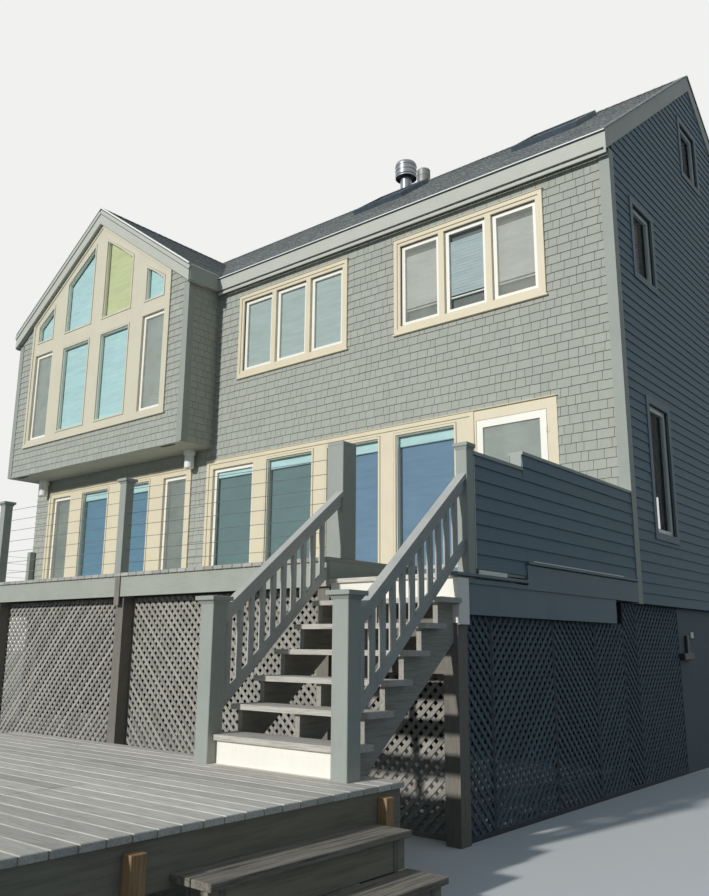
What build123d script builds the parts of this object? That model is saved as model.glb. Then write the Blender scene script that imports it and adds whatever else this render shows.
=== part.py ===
"""Beach house on a raised base, with a cantilevered gabled bay, a deck, a stair and a lower platform.

Millimetres, +Z up. The drawing frame has X = 0 at the outer face of the right gable wall, Y = 0 at the
outer face of the front wall and Z = 0 at the ground. Every piece is moved at the end so that the origin
is the centre of the whole outline on the ground.
"""
from build123d import *
import math
import os

# Heights above the ground; names that end in UP are heights above the deck
DECK_TOP = 2250.0
MAIN_FLOOR_TOP_UP = 50.0
UPPER_FLOOR_TOP_UP = 2870.0
WALL_BOTTOM_UP = -290.0
MAIN_FLOOR_THICK = 240.0
UPPER_FLOOR_THICK = 290.0
STAIR_RISE = 203.0
LANDING_TOP_UP = -200.0
STAIR_RISERS = 7

# Main block
HOUSE_LENGTH = 12980.0
HOUSE_DEPTH = 7360.0
WALL = 180.0
ROOF_PITCH = 0.785
ROOF_EDGE_UP = 5790.0
ROOF_DEPTH = 280.0
EAVE_OVERHANG = 120.0
FASCIA_THICK = 30.0
FASCIA_HEIGHT = 235.0
RAKE_THICK = 32.0
RAKE_HEIGHT = 285.0
DRIP = 12.0
CORNER_WIDTH = 115.0
CORNER_THICK = 24.0
RIDGE_CAP_WIDTH = 260.0
RIDGE_CAP_THICK = 22.0

# Front openings of the main floor
UNIT_HEAD_UP = 2215.0
UNIT_SILL_UP = 190.0
CASING_WIDTH = 110.0
CASING_PROUD = 26.0
FRAME_INSET = 130.0
MULLION_RIGHT = 325.0
RIGHT_GROUP_END = -970.0
RIGHT_FIXED_COUNT = 3
RIGHT_GROUP_LAP = 25.0
DOOR_OPENING = 1100.0
LEFT_CASING = 95.0

# Bay
BAY_WIDTH = 5580.0
BAY_REACH = 700.0
BAY_WALL = 150.0
BAY_BOTTOM_UP = 2580.0
BAY_EAVE_LIFT = 29.0
BAY_PITCH = 0.71
BAY_ROOF_DEPTH = 330.0
BAY_EAVE_OUT = 90.0
BAY_ROOF_OUT = 110.0
BAY_FLOOR_THICK = 200.0
BAY_FRAME_MARGIN = 490.0
# Columns of lights as shares of half the frame's width
NARROW_SHARE = 0.2217
WIDE_SHARE = 0.3783
WIDE_OFFSET_SHARE = 0.2804
NARROW_OFFSET_SHARE = 0.7935
BAY_SILL_UP = 3170.0
BAY_GLASS_LOW_UP = 3355.0
BAY_GLASS_HEAD_UP = 5065.0
BAY_TRANSOM_TOP_UP = 5425.0
BAY_HEAD_BAND = 250.0

# Upper triple windows
TRIPLE_SILL_UP = 3730.0
TRIPLE_HEAD_UP = 5240.0
TRIPLE_SASH = 690.0
TRIPLE_MULLION = 95.0
# Window centres as shares of the wall's length beside the bay
UPPER_LEFT_SHARE = 0.752
UPPER_RIGHT_SHARE = 0.2926

# Sashes and glass
SASH_FACE = 62.0
SASH_THICK = 44.0
SASH_SET = 22.0
GLASS_THICK = 8.0
GLASS_SET = 46.0

# Gable windows, given as centre, width, sill and head of the casing's outside
GABLE_CASING = 90.0
MAIN_GABLE_Y = 1095.0
MAIN_GABLE_WIDTH = 830.0
MAIN_GABLE_SILL_UP = 515.0
MAIN_GABLE_HEAD_UP = 2345.0
UPPER_GABLE_Y = 1020.0
UPPER_GABLE_WIDTH = 840.0
UPPER_GABLE_SILL_UP = 3930.0
UPPER_GABLE_HEAD_UP = 5100.0
ATTIC_GABLE_OFF = -270.0
ATTIC_GABLE_WIDTH = 880.0
ATTIC_GABLE_SILL_UP = 6500.0
ATTIC_GABLE_HEAD_UP = 7580.0
BACK_WINDOW_WIDTH = 1500.0
BACK_WINDOW_HEIGHT = 1300.0

# Deck
DECK_FRONT = -3840.0
BOARD_THICK = 38.0
DECK_FASCIA_HEIGHT = 222.0
DECK_FASCIA_SET = 25.0
DECK_FASCIA_THICK = 38.0
JOIST_WIDTH = 45.0
JOIST_HEIGHT = 200.0
JOIST_GAP = 560.0
LANDING_BACK = -2630.0
STAIR_WIDTH = 1310.0
SIDE_BEAM_TOP_UP = -275.0
SIDE_BEAM_BOTTOM_UP = -525.0
SIDE_BEAM_THICK = 90.0
SIDE_BEAM_BACK = -645.0
SUPPORT_POST = 140.0

# Cable railing
RAIL_POST = 113.0
RAIL_POST_HEIGHT = 1090.0
FIRST_POST_X = -4470.0
POST_PITCH = 2690.0
RAIL_BAYS = 3
CABLE_COUNT = 7
CABLE_RADIUS = 3.0
CABLE_SIDES = 6
CABLE_FIRST = 120.0
CABLE_PITCH = 140.0
CAP_OUT = 28.0
CAP_THICK = 38.0

# Side screen wall of the deck
SCREEN_THICK = CORNER_WIDTH
SCREEN_FRONT = -3500.0
SCREEN_LOW_BOTTOM_UP = -175.0
SCREEN_LOW_TOP_UP = 820.0
SCREEN_STEP = 155.0
SCREEN_CAP_THICK = 30.0
SCREEN_CAP_OUT = 18.0

# Stair
STAIR_RUN = 225.0
TREAD_THICK = 40.0
TREAD_NOSE = 34.0
STRINGER_THICK = 45.0
STRINGER_DEPTH = 250.0
STRINGER_INSET = 12.0
LOW_NEWEL = 140.0
LOW_NEWEL_TOP_UP = -412.0
TALL_NEWEL = 196.0
TALL_NEWEL_FRONT = -3650.0
TALL_NEWEL_TOP_UP = 1112.0
SLIM_NEWEL = 108.0
SLIM_NEWEL_OUT = 38.0
SLIM_NEWEL_TOP_UP = 902.0
NEWEL_CAP_OUT = 34.0
NEWEL_AHEAD = 85.0
LEFT_NEWEL_OUT = 66.0
RIGHT_NEWEL_OUT = 88.0
TREAD_OUT = 45.0
LEFT_RAIL_OUT = 35.0
RIGHT_RAIL_IN = 16.0
HANDRAIL_WIDTH = 90.0
HANDRAIL_THICK = 45.0
LEFT_RAIL_FOOT = 800.0
LEFT_RAIL_HEAD = 660.0
RIGHT_RAIL_FOOT = 731.0
RIGHT_RAIL_HEAD = 666.0
SHOE_HEIGHT = 95.0
SHOE_CLEAR = 15.0
BALUSTER = 38.0
BALUSTER_COUNT = 11
RISER_BOARD = 22.0

# Open base
PILE = 180.0
NEWEL_NOTCH = 2.0
HEADER_DROP = 790.0
LATTICE_THICK = 26.0
LATTICE_RAIL = 60.0
LATH_WIDTH = 38.0
LATH_PITCH = 480.0
LATTICE_SIDE_END = 1370.0
STORAGE_WALL_THICK = 70.0
STORAGE_SET = 40.0

# Lower platform
PLATFORM_RIGHT = 300.0
PLATFORM_LEFT = -4350.0
PLATFORM_BACK = -4900.0
PLATFORM_FRONT = -7700.0
PLATFORM_SKIRT = 240.0
PLATFORM_SKIRT_THICK = 40.0
PLATFORM_POST = 90.0
STEP_RISE = 212.0
STEP_GOING = 295.0
STEP_FRONT = -6760.0
STEP_BACK = -5200.0
STEP_COUNT = 2
STEP_LAP = 40.0

# Roof fittings
SKYLIGHT_WIDTH = 1180.0
SKYLIGHT_LENGTH = 1150.0
SKYLIGHT_CURB = 95.0
SKYLIGHT_RIM = 60.0
SKYLIGHT_XS = (-5450.0, -1930.0)
SKYLIGHT_BELOW_RIDGE = 1030.0
FLUE_X = -6040.0
FLUE_BEHIND_RIDGE = 280.0
FLUE_RADIUS = 90.0
FLUE_OVER_RIDGE = 821.0
FLUE_CAP_RADIUS = 235.0
FLUE_CAP_HEIGHT = 380.0
VENT_X = -5575.0
VENT_RADIUS = 140.0
VENT_OVER_RIDGE = 491.0

# Door
DOOR_GAP = 6.0
DOOR_THICK = 45.0
DOOR_STILE = 92.0
DOOR_BOTTOM_RAIL = 190.0
DOOR_TOP_RAIL = 100.0
DOOR_JAMB = 32.0
DOOR_THRESHOLD = 28.0
DOOR_PANE = 8.0
HINGE_RADIUS = 8.0
HINGE_LENGTH = 110.0
HINGE_PLATE = 36.0
HINGE_LIFT = 0.3
HINGE_COUNT = 3
HANDLE_HEIGHT = 950.0

# Lamps under the bay
LAMP_RADIUS = 105.0
LAMP_HEIGHT = 340.0
LAMP_INSET = 440.0
LAMP_CLEAR = 9.0

# Sizes and places that follow from the ones above
MAIN_FLOOR_TOP = DECK_TOP + MAIN_FLOOR_TOP_UP
UPPER_FLOOR_TOP = DECK_TOP + UPPER_FLOOR_TOP_UP
WALL_BOTTOM = DECK_TOP + WALL_BOTTOM_UP
LANDING_TOP = DECK_TOP + LANDING_TOP_UP
ROOF_EDGE = DECK_TOP + ROOF_EDGE_UP
UNIT_HEAD = DECK_TOP + UNIT_HEAD_UP
UNIT_SILL = DECK_TOP + UNIT_SILL_UP
BAY_BOTTOM = DECK_TOP + BAY_BOTTOM_UP
BAY_SILL = DECK_TOP + BAY_SILL_UP
BAY_GLASS_LOW = DECK_TOP + BAY_GLASS_LOW_UP
BAY_GLASS_HEAD = DECK_TOP + BAY_GLASS_HEAD_UP
BAY_TRANSOM_TOP = DECK_TOP + BAY_TRANSOM_TOP_UP
TRIPLE_SILL = DECK_TOP + TRIPLE_SILL_UP
TRIPLE_HEAD = DECK_TOP + TRIPLE_HEAD_UP
MAIN_GABLE_SILL = DECK_TOP + MAIN_GABLE_SILL_UP
MAIN_GABLE_HEAD = DECK_TOP + MAIN_GABLE_HEAD_UP
UPPER_GABLE_SILL = DECK_TOP + UPPER_GABLE_SILL_UP
UPPER_GABLE_HEAD = DECK_TOP + UPPER_GABLE_HEAD_UP
ATTIC_GABLE_SILL = DECK_TOP + ATTIC_GABLE_SILL_UP
ATTIC_GABLE_HEAD = DECK_TOP + ATTIC_GABLE_HEAD_UP
SIDE_BEAM_TOP = DECK_TOP + SIDE_BEAM_TOP_UP
SIDE_BEAM_BOTTOM = DECK_TOP + SIDE_BEAM_BOTTOM_UP
SCREEN_LOW_BOTTOM = DECK_TOP + SCREEN_LOW_BOTTOM_UP
SCREEN_LOW_TOP = DECK_TOP + SCREEN_LOW_TOP_UP
LOW_NEWEL_TOP = DECK_TOP + LOW_NEWEL_TOP_UP
TALL_NEWEL_TOP = DECK_TOP + TALL_NEWEL_TOP_UP
SLIM_NEWEL_TOP = DECK_TOP + SLIM_NEWEL_TOP_UP
PLATFORM_TOP = LANDING_TOP - STAIR_RISE * STAIR_RISERS
RIDGE_Y = HOUSE_DEPTH / 2
RIDGE_Z = ROOF_EDGE + ROOF_PITCH * RIDGE_Y
LEFT_X = -HOUSE_LENGTH
BAY_RIGHT = LEFT_X + BAY_WIDTH
BAY_CENTRE = LEFT_X + BAY_WIDTH / 2
BAY_APEX = ROOF_EDGE + BAY_EAVE_LIFT + BAY_PITCH * BAY_WIDTH / 2
BAY_FRAME_HALF = BAY_WIDTH / 2 - BAY_FRAME_MARGIN
UPPER_LEFT_CENTRE = BAY_RIGHT * UPPER_LEFT_SHARE
UPPER_RIGHT_CENTRE = BAY_RIGHT * UPPER_RIGHT_SHARE
SKYLIGHT_Y = RIDGE_Y - SKYLIGHT_BELOW_RIDGE
FLUE_Y = RIDGE_Y + FLUE_BEHIND_RIDGE
FLUE_TOP = RIDGE_Z + FLUE_OVER_RIDGE
VENT_TOP = RIDGE_Z + VENT_OVER_RIDGE
FASCIA_FACE = DECK_FRONT + DECK_FASCIA_SET
FRAME_FRONT = FASCIA_FACE + DECK_FASCIA_THICK
TOP_RISER = FRAME_FRONT - RISER_BOARD
POST_BACK = FRAME_FRONT + SUPPORT_POST
TREAD_DEPTH = TREAD_NOSE + STAIR_RUN + RISER_BOARD
BASE_INSET = STORAGE_SET + STORAGE_WALL_THICK
STAIR_LEFT = -STAIR_WIDTH
parts = {}


def block(x0, x1, y0, y1, z0, z1):
    """A box between two corners."""
    return Pos(x0, y0, z0) * Box(x1 - x0, y1 - y0, z1 - z0, align=(Align.MIN, Align.MIN, Align.MIN))


def prism_x(points, x0, x1):
    """An outline of (y, z) points run along X."""
    face = Plane.YZ * Polygon(*points, align=None)
    return Pos(x0, 0, 0) * extrude(face, amount=x1 - x0, dir=(1, 0, 0))


def prism_y(points, y0, y1):
    """An outline of (x, z) points run along Y."""
    face = Plane.XZ * Polygon(*points, align=None)
    return Pos(0, y0, 0) * extrude(face, amount=y1 - y0, dir=(0, 1, 0))


def rectangle(a0, a1, b0, b1):
    """The four corners of a rectangle, anticlockwise."""
    return [(a0, b0), (a1, b0), (a1, b1), (a0, b1)]


def roof_top(y):
    """Height of the main roof's top face at a distance behind the front wall."""
    return ROOF_EDGE + ROOF_PITCH * min(y, HOUSE_DEPTH - y)


def roof_under(y):
    """Height of the main roof's underside."""
    return roof_top(y) - ROOF_DEPTH


def bay_top(x):
    """Height of the bay roof's top face."""
    return BAY_APEX - BAY_PITCH * abs(x - BAY_CENTRE)


def bay_under(x):
    """Height of the bay roof's underside."""
    return bay_top(x) - BAY_ROOF_DEPTH


def add(name, *solids):
    """Keeps more solids of one named piece."""
    parts.setdefault(name, []).extend(solids)


def frame_solid(axis, casing, opening, holes, face, inward):
    """A casing on the wall's face and a liner through the wall, with its holes cut through both.

    face is the wall's outer face and inward is +1 or -1, the way into the wall.
    """
    run = prism_y if axis == "y" else prism_x

    def layer(outline, near, far):
        low, high = sorted((face + inward * near, face + inward * far))
        return run(outline, low, high)

    solid = layer(casing, -CASING_PROUD, 0) + layer(opening, 0, FRAME_INSET)
    for hole in holes:
        solid -= layer(hole, -2 * CASING_PROUD, 2 * FRAME_INSET)
    return solid


def sash_solid(axis, x0, x1, z0, z1, face, inward):
    """One white sash: a flat ring set in its opening."""
    run = prism_y if axis == "y" else prism_x
    low, high = sorted((face + inward * SASH_SET, face + inward * (SASH_SET + SASH_THICK)))
    ring = run(rectangle(x0, x1, z0, z1), low, high)
    inner = rectangle(x0 + SASH_FACE, x1 - SASH_FACE, z0 + SASH_FACE, z1 - SASH_FACE)
    return ring - run(inner, low - SASH_THICK, high + SASH_THICK)


def glass_solid(axis, outline, face, inward):
    """One pane of glass."""
    run = prism_y if axis == "y" else prism_x
    low, high = sorted((face + inward * GLASS_SET, face + inward * (GLASS_SET + GLASS_THICK)))
    return run(outline, low, high)


def grown(x0, x1, z0, z1, by):
    """A rectangle made larger on all sides."""
    return rectangle(x0 - by, x1 + by, z0 - by, z1 + by)


def sashed(axis, holes, face, inward):
    """Sashes and panes for a list of rectangular holes."""
    sashes = [sash_solid(axis, *hole, face, inward) for hole in holes]
    panes = [glass_solid(axis, grown(*hole, -SASH_FACE), face, inward) for hole in holes]
    return sashes, panes


def triple_holes(centre):
    """The three sash openings of an upper triple window."""
    pitch = TRIPLE_SASH + TRIPLE_MULLION
    low = TRIPLE_SILL + CASING_WIDTH
    high = TRIPLE_HEAD - CASING_WIDTH
    half = TRIPLE_SASH / 2
    return [(centre + pitch * i - half, centre + pitch * i + half, low, high) for i in (-1, 0, 1)]


def span(holes):
    """The rectangle round a row of holes."""
    return (min(h[0] for h in holes), max(h[1] for h in holes), holes[0][2], holes[0][3])


# Shell of the main block
right_group_start = BAY_RIGHT - RIGHT_GROUP_LAP
door_left = RIGHT_GROUP_END - DOOR_OPENING
sash_unit_left = right_group_start + LEFT_CASING
right_pitch = (door_left - sash_unit_left) / (RIGHT_FIXED_COUNT + 1)
light_width = right_pitch - MULLION_RIGHT
sash_unit_right = sash_unit_left + light_width
right_fixed_left = sash_unit_left + right_pitch
column_spans = []
for offset, width in ((-NARROW_OFFSET_SHARE, NARROW_SHARE), (-WIDE_OFFSET_SHARE, WIDE_SHARE),
                      (WIDE_OFFSET_SHARE, WIDE_SHARE), (NARROW_OFFSET_SHARE, NARROW_SHARE)):
    middle = BAY_CENTRE + offset * BAY_FRAME_HALF
    half = width * BAY_FRAME_HALF / 2
    column_spans.append((middle - half, middle + half))
left_group_start = column_spans[0][0] - SASH_FACE - LEFT_CASING
left_group_end = column_spans[3][1] + SASH_FACE + LEFT_CASING

upper_right_holes = triple_holes(UPPER_RIGHT_CENTRE)
upper_left_holes = triple_holes(UPPER_LEFT_CENTRE)
front_profile = [(0, UNIT_HEAD), (WALL, UNIT_HEAD), (WALL, roof_under(WALL)), (0, roof_under(0))]
front_upper = prism_x(front_profile, BAY_RIGHT, -WALL)
for holes in (upper_right_holes, upper_left_holes):
    front_upper -= prism_y(rectangle(*span(holes)), -WALL, 2 * WALL)
add("front_wall_upper", front_upper)

add("front_wall_lower", block(LEFT_X + WALL, RIGHT_GROUP_END, 0, WALL, WALL_BOTTOM, MAIN_FLOOR_TOP))
add("front_wall_lower", block(RIGHT_GROUP_END, -WALL, 0, WALL, WALL_BOTTOM, UNIT_HEAD),
    block(left_group_end, right_group_start, 0, WALL, MAIN_FLOOR_TOP, UNIT_HEAD),
    block(LEFT_X + WALL, left_group_start, 0, WALL, MAIN_FLOOR_TOP, UNIT_HEAD))
add("front_wall_lower", block(right_group_start, door_left, 0, WALL, MAIN_FLOOR_TOP, UNIT_SILL),
    block(left_group_start, left_group_end, 0, WALL, MAIN_FLOOR_TOP, UNIT_SILL))
add("front_wall_lower", block(LEFT_X + WALL, BAY_RIGHT, 0, WALL, UNIT_HEAD, BAY_BOTTOM))

gable_outline = [(0, WALL_BOTTOM), (HOUSE_DEPTH, WALL_BOTTOM), (HOUSE_DEPTH, roof_under(0)),
                 (RIDGE_Y, roof_under(RIDGE_Y)), (0, roof_under(0))]


def side_hole(centre, width, sill, head):
    """The clear opening of a gable window."""
    half = width / 2 - GABLE_CASING
    return (centre - half, centre + half, sill + GABLE_CASING, head - GABLE_CASING)


side_holes = [side_hole(MAIN_GABLE_Y, MAIN_GABLE_WIDTH, MAIN_GABLE_SILL, MAIN_GABLE_HEAD),
              side_hole(UPPER_GABLE_Y, UPPER_GABLE_WIDTH, UPPER_GABLE_SILL, UPPER_GABLE_HEAD),
              side_hole(RIDGE_Y + ATTIC_GABLE_OFF, ATTIC_GABLE_WIDTH, ATTIC_GABLE_SILL, ATTIC_GABLE_HEAD)]
for x0 in (-WALL, LEFT_X):
    wall = prism_x(gable_outline, x0, x0 + WALL)
    for hole in side_holes:
        wall -= prism_x(rectangle(*hole), x0 - WALL, x0 + 2 * WALL)
    add("gable_walls", wall)

back_face = HOUSE_DEPTH
back_holes = []
for sill in (MAIN_FLOOR_TOP + 900.0, UPPER_FLOOR_TOP + 800.0):
    for share in (0.2, 0.5, 0.8):
        centre = LEFT_X * share
        back_holes.append((centre - BACK_WINDOW_WIDTH / 2, centre + BACK_WINDOW_WIDTH / 2,
                           sill, sill + BACK_WINDOW_HEIGHT))
back_profile = [(HOUSE_DEPTH - WALL, WALL_BOTTOM), (HOUSE_DEPTH, WALL_BOTTOM),
                (HOUSE_DEPTH, roof_under(HOUSE_DEPTH)), (HOUSE_DEPTH - WALL, roof_under(HOUSE_DEPTH - WALL))]
back_wall = prism_x(back_profile, LEFT_X + WALL, -WALL)
for hole in back_holes:
    back_wall -= prism_y(rectangle(*hole), HOUSE_DEPTH - 2 * WALL, HOUSE_DEPTH + WALL)
add("back_wall", back_wall)

inside = (LEFT_X + WALL, -WALL, WALL, HOUSE_DEPTH - WALL)
add("floors", block(*inside, MAIN_FLOOR_TOP - MAIN_FLOOR_THICK, MAIN_FLOOR_TOP))
add("floors", block(*inside, UPPER_FLOOR_TOP - UPPER_FLOOR_THICK, UPPER_FLOOR_TOP))

# Main roof, notched under the bay's own roof
eave_y = FASCIA_THICK - EAVE_OVERHANG
slope = [(eave_y, ROOF_EDGE + ROOF_PITCH * eave_y), (RIDGE_Y, roof_top(RIDGE_Y)),
         (RIDGE_Y, roof_under(RIDGE_Y)), (eave_y, ROOF_EDGE + ROOF_PITCH * eave_y - ROOF_DEPTH)]
roof_front = prism_x(slope, LEFT_X, 0)
inner_half = BAY_WIDTH / 2 - BAY_WALL
bay_inside = [(BAY_CENTRE - inner_half, BAY_BOTTOM), (BAY_CENTRE + inner_half, BAY_BOTTOM),
              (BAY_CENTRE + inner_half, bay_under(BAY_CENTRE + inner_half)),
              (BAY_CENTRE, bay_under(BAY_CENTRE)),
              (BAY_CENTRE - inner_half, bay_under(BAY_CENTRE - inner_half))]
roof_front -= prism_y(bay_inside, -BAY_REACH, RIDGE_Y)
roof_front -= block(LEFT_X - WALL, BAY_RIGHT, -BAY_REACH, 0, BAY_BOTTOM, ROOF_EDGE)
back_slope = [(HOUSE_DEPTH - y, z) for y, z in slope]
roof_back = prism_x(back_slope, LEFT_X, 0)


def on_slope(x, y, lift):
    """A place on the front roof slope: local X along the ridge, local Y up the slope."""
    tilt = math.degrees(math.atan(ROOF_PITCH))
    return Pos(x, y, roof_top(y) + lift) * Rot(tilt, 0, 0)


curbs = []
panes = []
for x in SKYLIGHT_XS:
    seat = on_slope(x, SKYLIGHT_Y, 0)
    hole = Box(SKYLIGHT_WIDTH - 2 * SKYLIGHT_RIM, SKYLIGHT_LENGTH - 2 * SKYLIGHT_RIM, 4 * ROOF_DEPTH)
    roof_front -= seat * hole
    outer = Box(SKYLIGHT_WIDTH, SKYLIGHT_LENGTH, SKYLIGHT_CURB, align=(Align.CENTER, Align.CENTER, Align.MIN))
    curbs.append(seat * (outer - hole))
    pane = Box(SKYLIGHT_WIDTH - 2 * SKYLIGHT_RIM, SKYLIGHT_LENGTH - 2 * SKYLIGHT_RIM, GLASS_THICK)
    panes.append(on_slope(x, SKYLIGHT_Y, 0) * Pos(0, 0, SKYLIGHT_CURB - 2 * GLASS_THICK) * pane)
add("roof_front", roof_front)
add("roof_back", roof_back)
add("skylight_curbs", *curbs)
add("skylight_glass", *panes)

cap_drop = ROOF_PITCH * RIDGE_CAP_WIDTH / 2
ridge_z = roof_top(RIDGE_Y)
ridge_cap = [(RIDGE_Y, ridge_z), (RIDGE_Y + RIDGE_CAP_WIDTH / 2, ridge_z - cap_drop),
             (RIDGE_Y + RIDGE_CAP_WIDTH / 2, ridge_z - cap_drop + RIDGE_CAP_THICK),
             (RIDGE_Y, ridge_z + RIDGE_CAP_THICK),
             (RIDGE_Y - RIDGE_CAP_WIDTH / 2, ridge_z - cap_drop + RIDGE_CAP_THICK),
             (RIDGE_Y - RIDGE_CAP_WIDTH / 2, ridge_z - cap_drop)]
add("ridge_cap", prism_x(ridge_cap, LEFT_X, 0))

# Trim of the main block
eave_z = ROOF_EDGE - ROOF_PITCH * EAVE_OVERHANG
front_eave = block(BAY_RIGHT + BAY_EAVE_OUT, 0, -EAVE_OVERHANG, eave_y, eave_z - FASCIA_HEIGHT, eave_z)
back_eave = block(LEFT_X, 0, HOUSE_DEPTH - eave_y, HOUSE_DEPTH + EAVE_OVERHANG, eave_z - FASCIA_HEIGHT, eave_z)
add("roof_trim", front_eave, back_eave)


def rake_outline():
    """The two rake boards of a gable as one bent board."""
    low = ROOF_EDGE - ROOF_PITCH * EAVE_OVERHANG + DRIP
    top = roof_top(RIDGE_Y) + DRIP
    front, back = -EAVE_OVERHANG, HOUSE_DEPTH + EAVE_OVERHANG
    return [(front, low), (front, low - RAKE_HEIGHT), (RIDGE_Y, top - RAKE_HEIGHT),
            (back, low - RAKE_HEIGHT), (back, low), (RIDGE_Y, top)]


far_rake = prism_x(rake_outline(), LEFT_X - RAKE_THICK, LEFT_X)
add("roof_trim", prism_x(rake_outline(), 0, RAKE_THICK), far_rake)

corner_top = roof_under(-CORNER_THICK)
front_corner = block(-CORNER_WIDTH, CORNER_THICK, -CORNER_THICK, 0, WALL_BOTTOM, corner_top)
front_corner += block(0, CORNER_THICK, 0, CORNER_WIDTH, WALL_BOTTOM, corner_top)
back_corner = block(-CORNER_WIDTH, CORNER_THICK, HOUSE_DEPTH, HOUSE_DEPTH + CORNER_THICK, WALL_BOTTOM, corner_top)
back_corner += block(0, CORNER_THICK, HOUSE_DEPTH - CORNER_WIDTH, HOUSE_DEPTH, WALL_BOTTOM, corner_top)
far_corner = block(LEFT_X - CORNER_THICK, LEFT_X + CORNER_WIDTH, HOUSE_DEPTH, HOUSE_DEPTH + CORNER_THICK,
                   WALL_BOTTOM, corner_top)
far_corner += block(LEFT_X - CORNER_THICK, LEFT_X, HOUSE_DEPTH - CORNER_WIDTH, HOUSE_DEPTH,
                    WALL_BOTTOM, corner_top)
add("corner_boards", front_corner, back_corner, far_corner)

# Bay
bay_front_outline = [(LEFT_X, BAY_BOTTOM), (BAY_RIGHT, BAY_BOTTOM), (BAY_RIGHT, bay_under(BAY_RIGHT)),
                     (BAY_CENTRE, bay_under(BAY_CENTRE)), (LEFT_X, bay_under(LEFT_X))]
frame_eave = bay_under(BAY_CENTRE + BAY_FRAME_HALF)
bay_frame_outline = [(BAY_CENTRE - BAY_FRAME_HALF, BAY_SILL), (BAY_CENTRE + BAY_FRAME_HALF, BAY_SILL),
                     (BAY_CENTRE + BAY_FRAME_HALF, frame_eave), (BAY_CENTRE, bay_under(BAY_CENTRE)),
                     (BAY_CENTRE - BAY_FRAME_HALF, frame_eave)]
bay_head_drop = CASING_WIDTH * math.hypot(1, BAY_PITCH)
bay_opening_half = BAY_FRAME_HALF - CASING_WIDTH
opening_eave = bay_under(BAY_CENTRE + bay_opening_half) - bay_head_drop
bay_opening = [(BAY_CENTRE - bay_opening_half, BAY_SILL + CASING_WIDTH),
               (BAY_CENTRE + bay_opening_half, BAY_SILL + CASING_WIDTH),
               (BAY_CENTRE + bay_opening_half, opening_eave),
               (BAY_CENTRE, bay_under(BAY_CENTRE) - bay_head_drop),
               (BAY_CENTRE - bay_opening_half, opening_eave)]
bay_front = prism_y(bay_front_outline, -BAY_REACH, BAY_WALL - BAY_REACH)
bay_front -= prism_y(bay_opening, -2 * BAY_REACH, 0)
add("bay_front_wall", bay_front)

side_left = block(LEFT_X, LEFT_X + BAY_WALL, BAY_WALL - BAY_REACH, 0, BAY_BOTTOM, bay_under(LEFT_X))
side_right = block(BAY_RIGHT - BAY_WALL, BAY_RIGHT, BAY_WALL - BAY_REACH, 0, BAY_BOTTOM, bay_under(BAY_RIGHT))
add("bay_side_walls", side_left, side_right)
add("floors", block(LEFT_X + BAY_WALL, BAY_RIGHT - BAY_WALL, BAY_WALL - BAY_REACH, 0,
                       BAY_BOTTOM, BAY_BOTTOM + BAY_FLOOR_THICK))

bay_tip = BAY_WIDTH / 2 + BAY_EAVE_OUT
above_main = [(-4 * BAY_REACH, ROOF_EDGE - ROOF_PITCH * 4 * BAY_REACH), (RIDGE_Y, roof_top(RIDGE_Y)),
              (RIDGE_Y, BAY_APEX + BAY_REACH), (-4 * BAY_REACH, BAY_APEX + BAY_REACH)]
keep = prism_x(above_main, LEFT_X - BAY_REACH, 0)
for side in (-1, 1):
    tip = BAY_CENTRE + side * bay_tip
    leaf = prism_y([(BAY_CENTRE, bay_top(BAY_CENTRE)), (tip, bay_top(tip)), (tip, bay_under(tip)),
                    (BAY_CENTRE, bay_under(BAY_CENTRE))], -BAY_REACH - BAY_ROOF_OUT + RAKE_THICK, RIDGE_Y)
    add("bay_roof", (leaf & keep) - far_rake)

rake_top = BAY_APEX + DRIP
tip_z = bay_top(BAY_CENTRE + bay_tip) + DRIP
bay_rake = [(BAY_CENTRE - bay_tip, tip_z), (BAY_CENTRE - bay_tip, tip_z - BAY_ROOF_DEPTH),
            (BAY_CENTRE, rake_top - BAY_ROOF_DEPTH - DRIP), (BAY_CENTRE + bay_tip, tip_z - BAY_ROOF_DEPTH),
            (BAY_CENTRE + bay_tip, tip_z), (BAY_CENTRE, rake_top)]
rake_front = -BAY_REACH - BAY_ROOF_OUT
add("bay_rake_boards", prism_y(bay_rake, rake_front, rake_front + RAKE_THICK))

bay_corners = []
for x, side in ((LEFT_X, 1), (BAY_RIGHT, -1)):
    low, high = sorted((x - side * CORNER_THICK, x + side * CORNER_WIDTH))
    board_top = bay_under(x - side * CORNER_THICK)
    board = block(low, high, -BAY_REACH - CORNER_THICK, -BAY_REACH, BAY_BOTTOM, board_top)
    low, high = sorted((x - side * CORNER_THICK, x))
    bay_corners.append(board + block(low, high, -BAY_REACH, CORNER_WIDTH - BAY_REACH, BAY_BOTTOM, board_top))
add("corner_boards", *bay_corners)

# Bay window: four columns of lights, the upper row cut by the slope of the roof
bay_low_holes = []
bay_high_holes = []
for index, (x0, x1) in enumerate(column_spans):
    extra = SASH_FACE if index in (0, 3) else 0
    bay_low_holes.append((x0 - extra, x1 + extra, BAY_GLASS_LOW - extra, BAY_GLASS_HEAD + extra))
    heads = [bay_under(x) - BAY_HEAD_BAND for x in (x0, x1)]
    bay_high_holes.append([(x0, BAY_TRANSOM_TOP), (x1, BAY_TRANSOM_TOP), (x1, heads[1]), (x0, heads[0])])
bay_holes = [rectangle(*hole) for hole in bay_low_holes] + bay_high_holes
add("bay_window", frame_solid("y", bay_frame_outline, bay_opening, bay_holes, -BAY_REACH, 1))
bay_sashes, bay_panes = sashed("y", [bay_low_holes[0], bay_low_holes[3]], -BAY_REACH, 1)
for hole in (bay_holes[1], bay_holes[2], *bay_high_holes):
    bay_panes.append(glass_solid("y", hole, -BAY_REACH, 1))
add("window_glass", *bay_panes)

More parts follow.
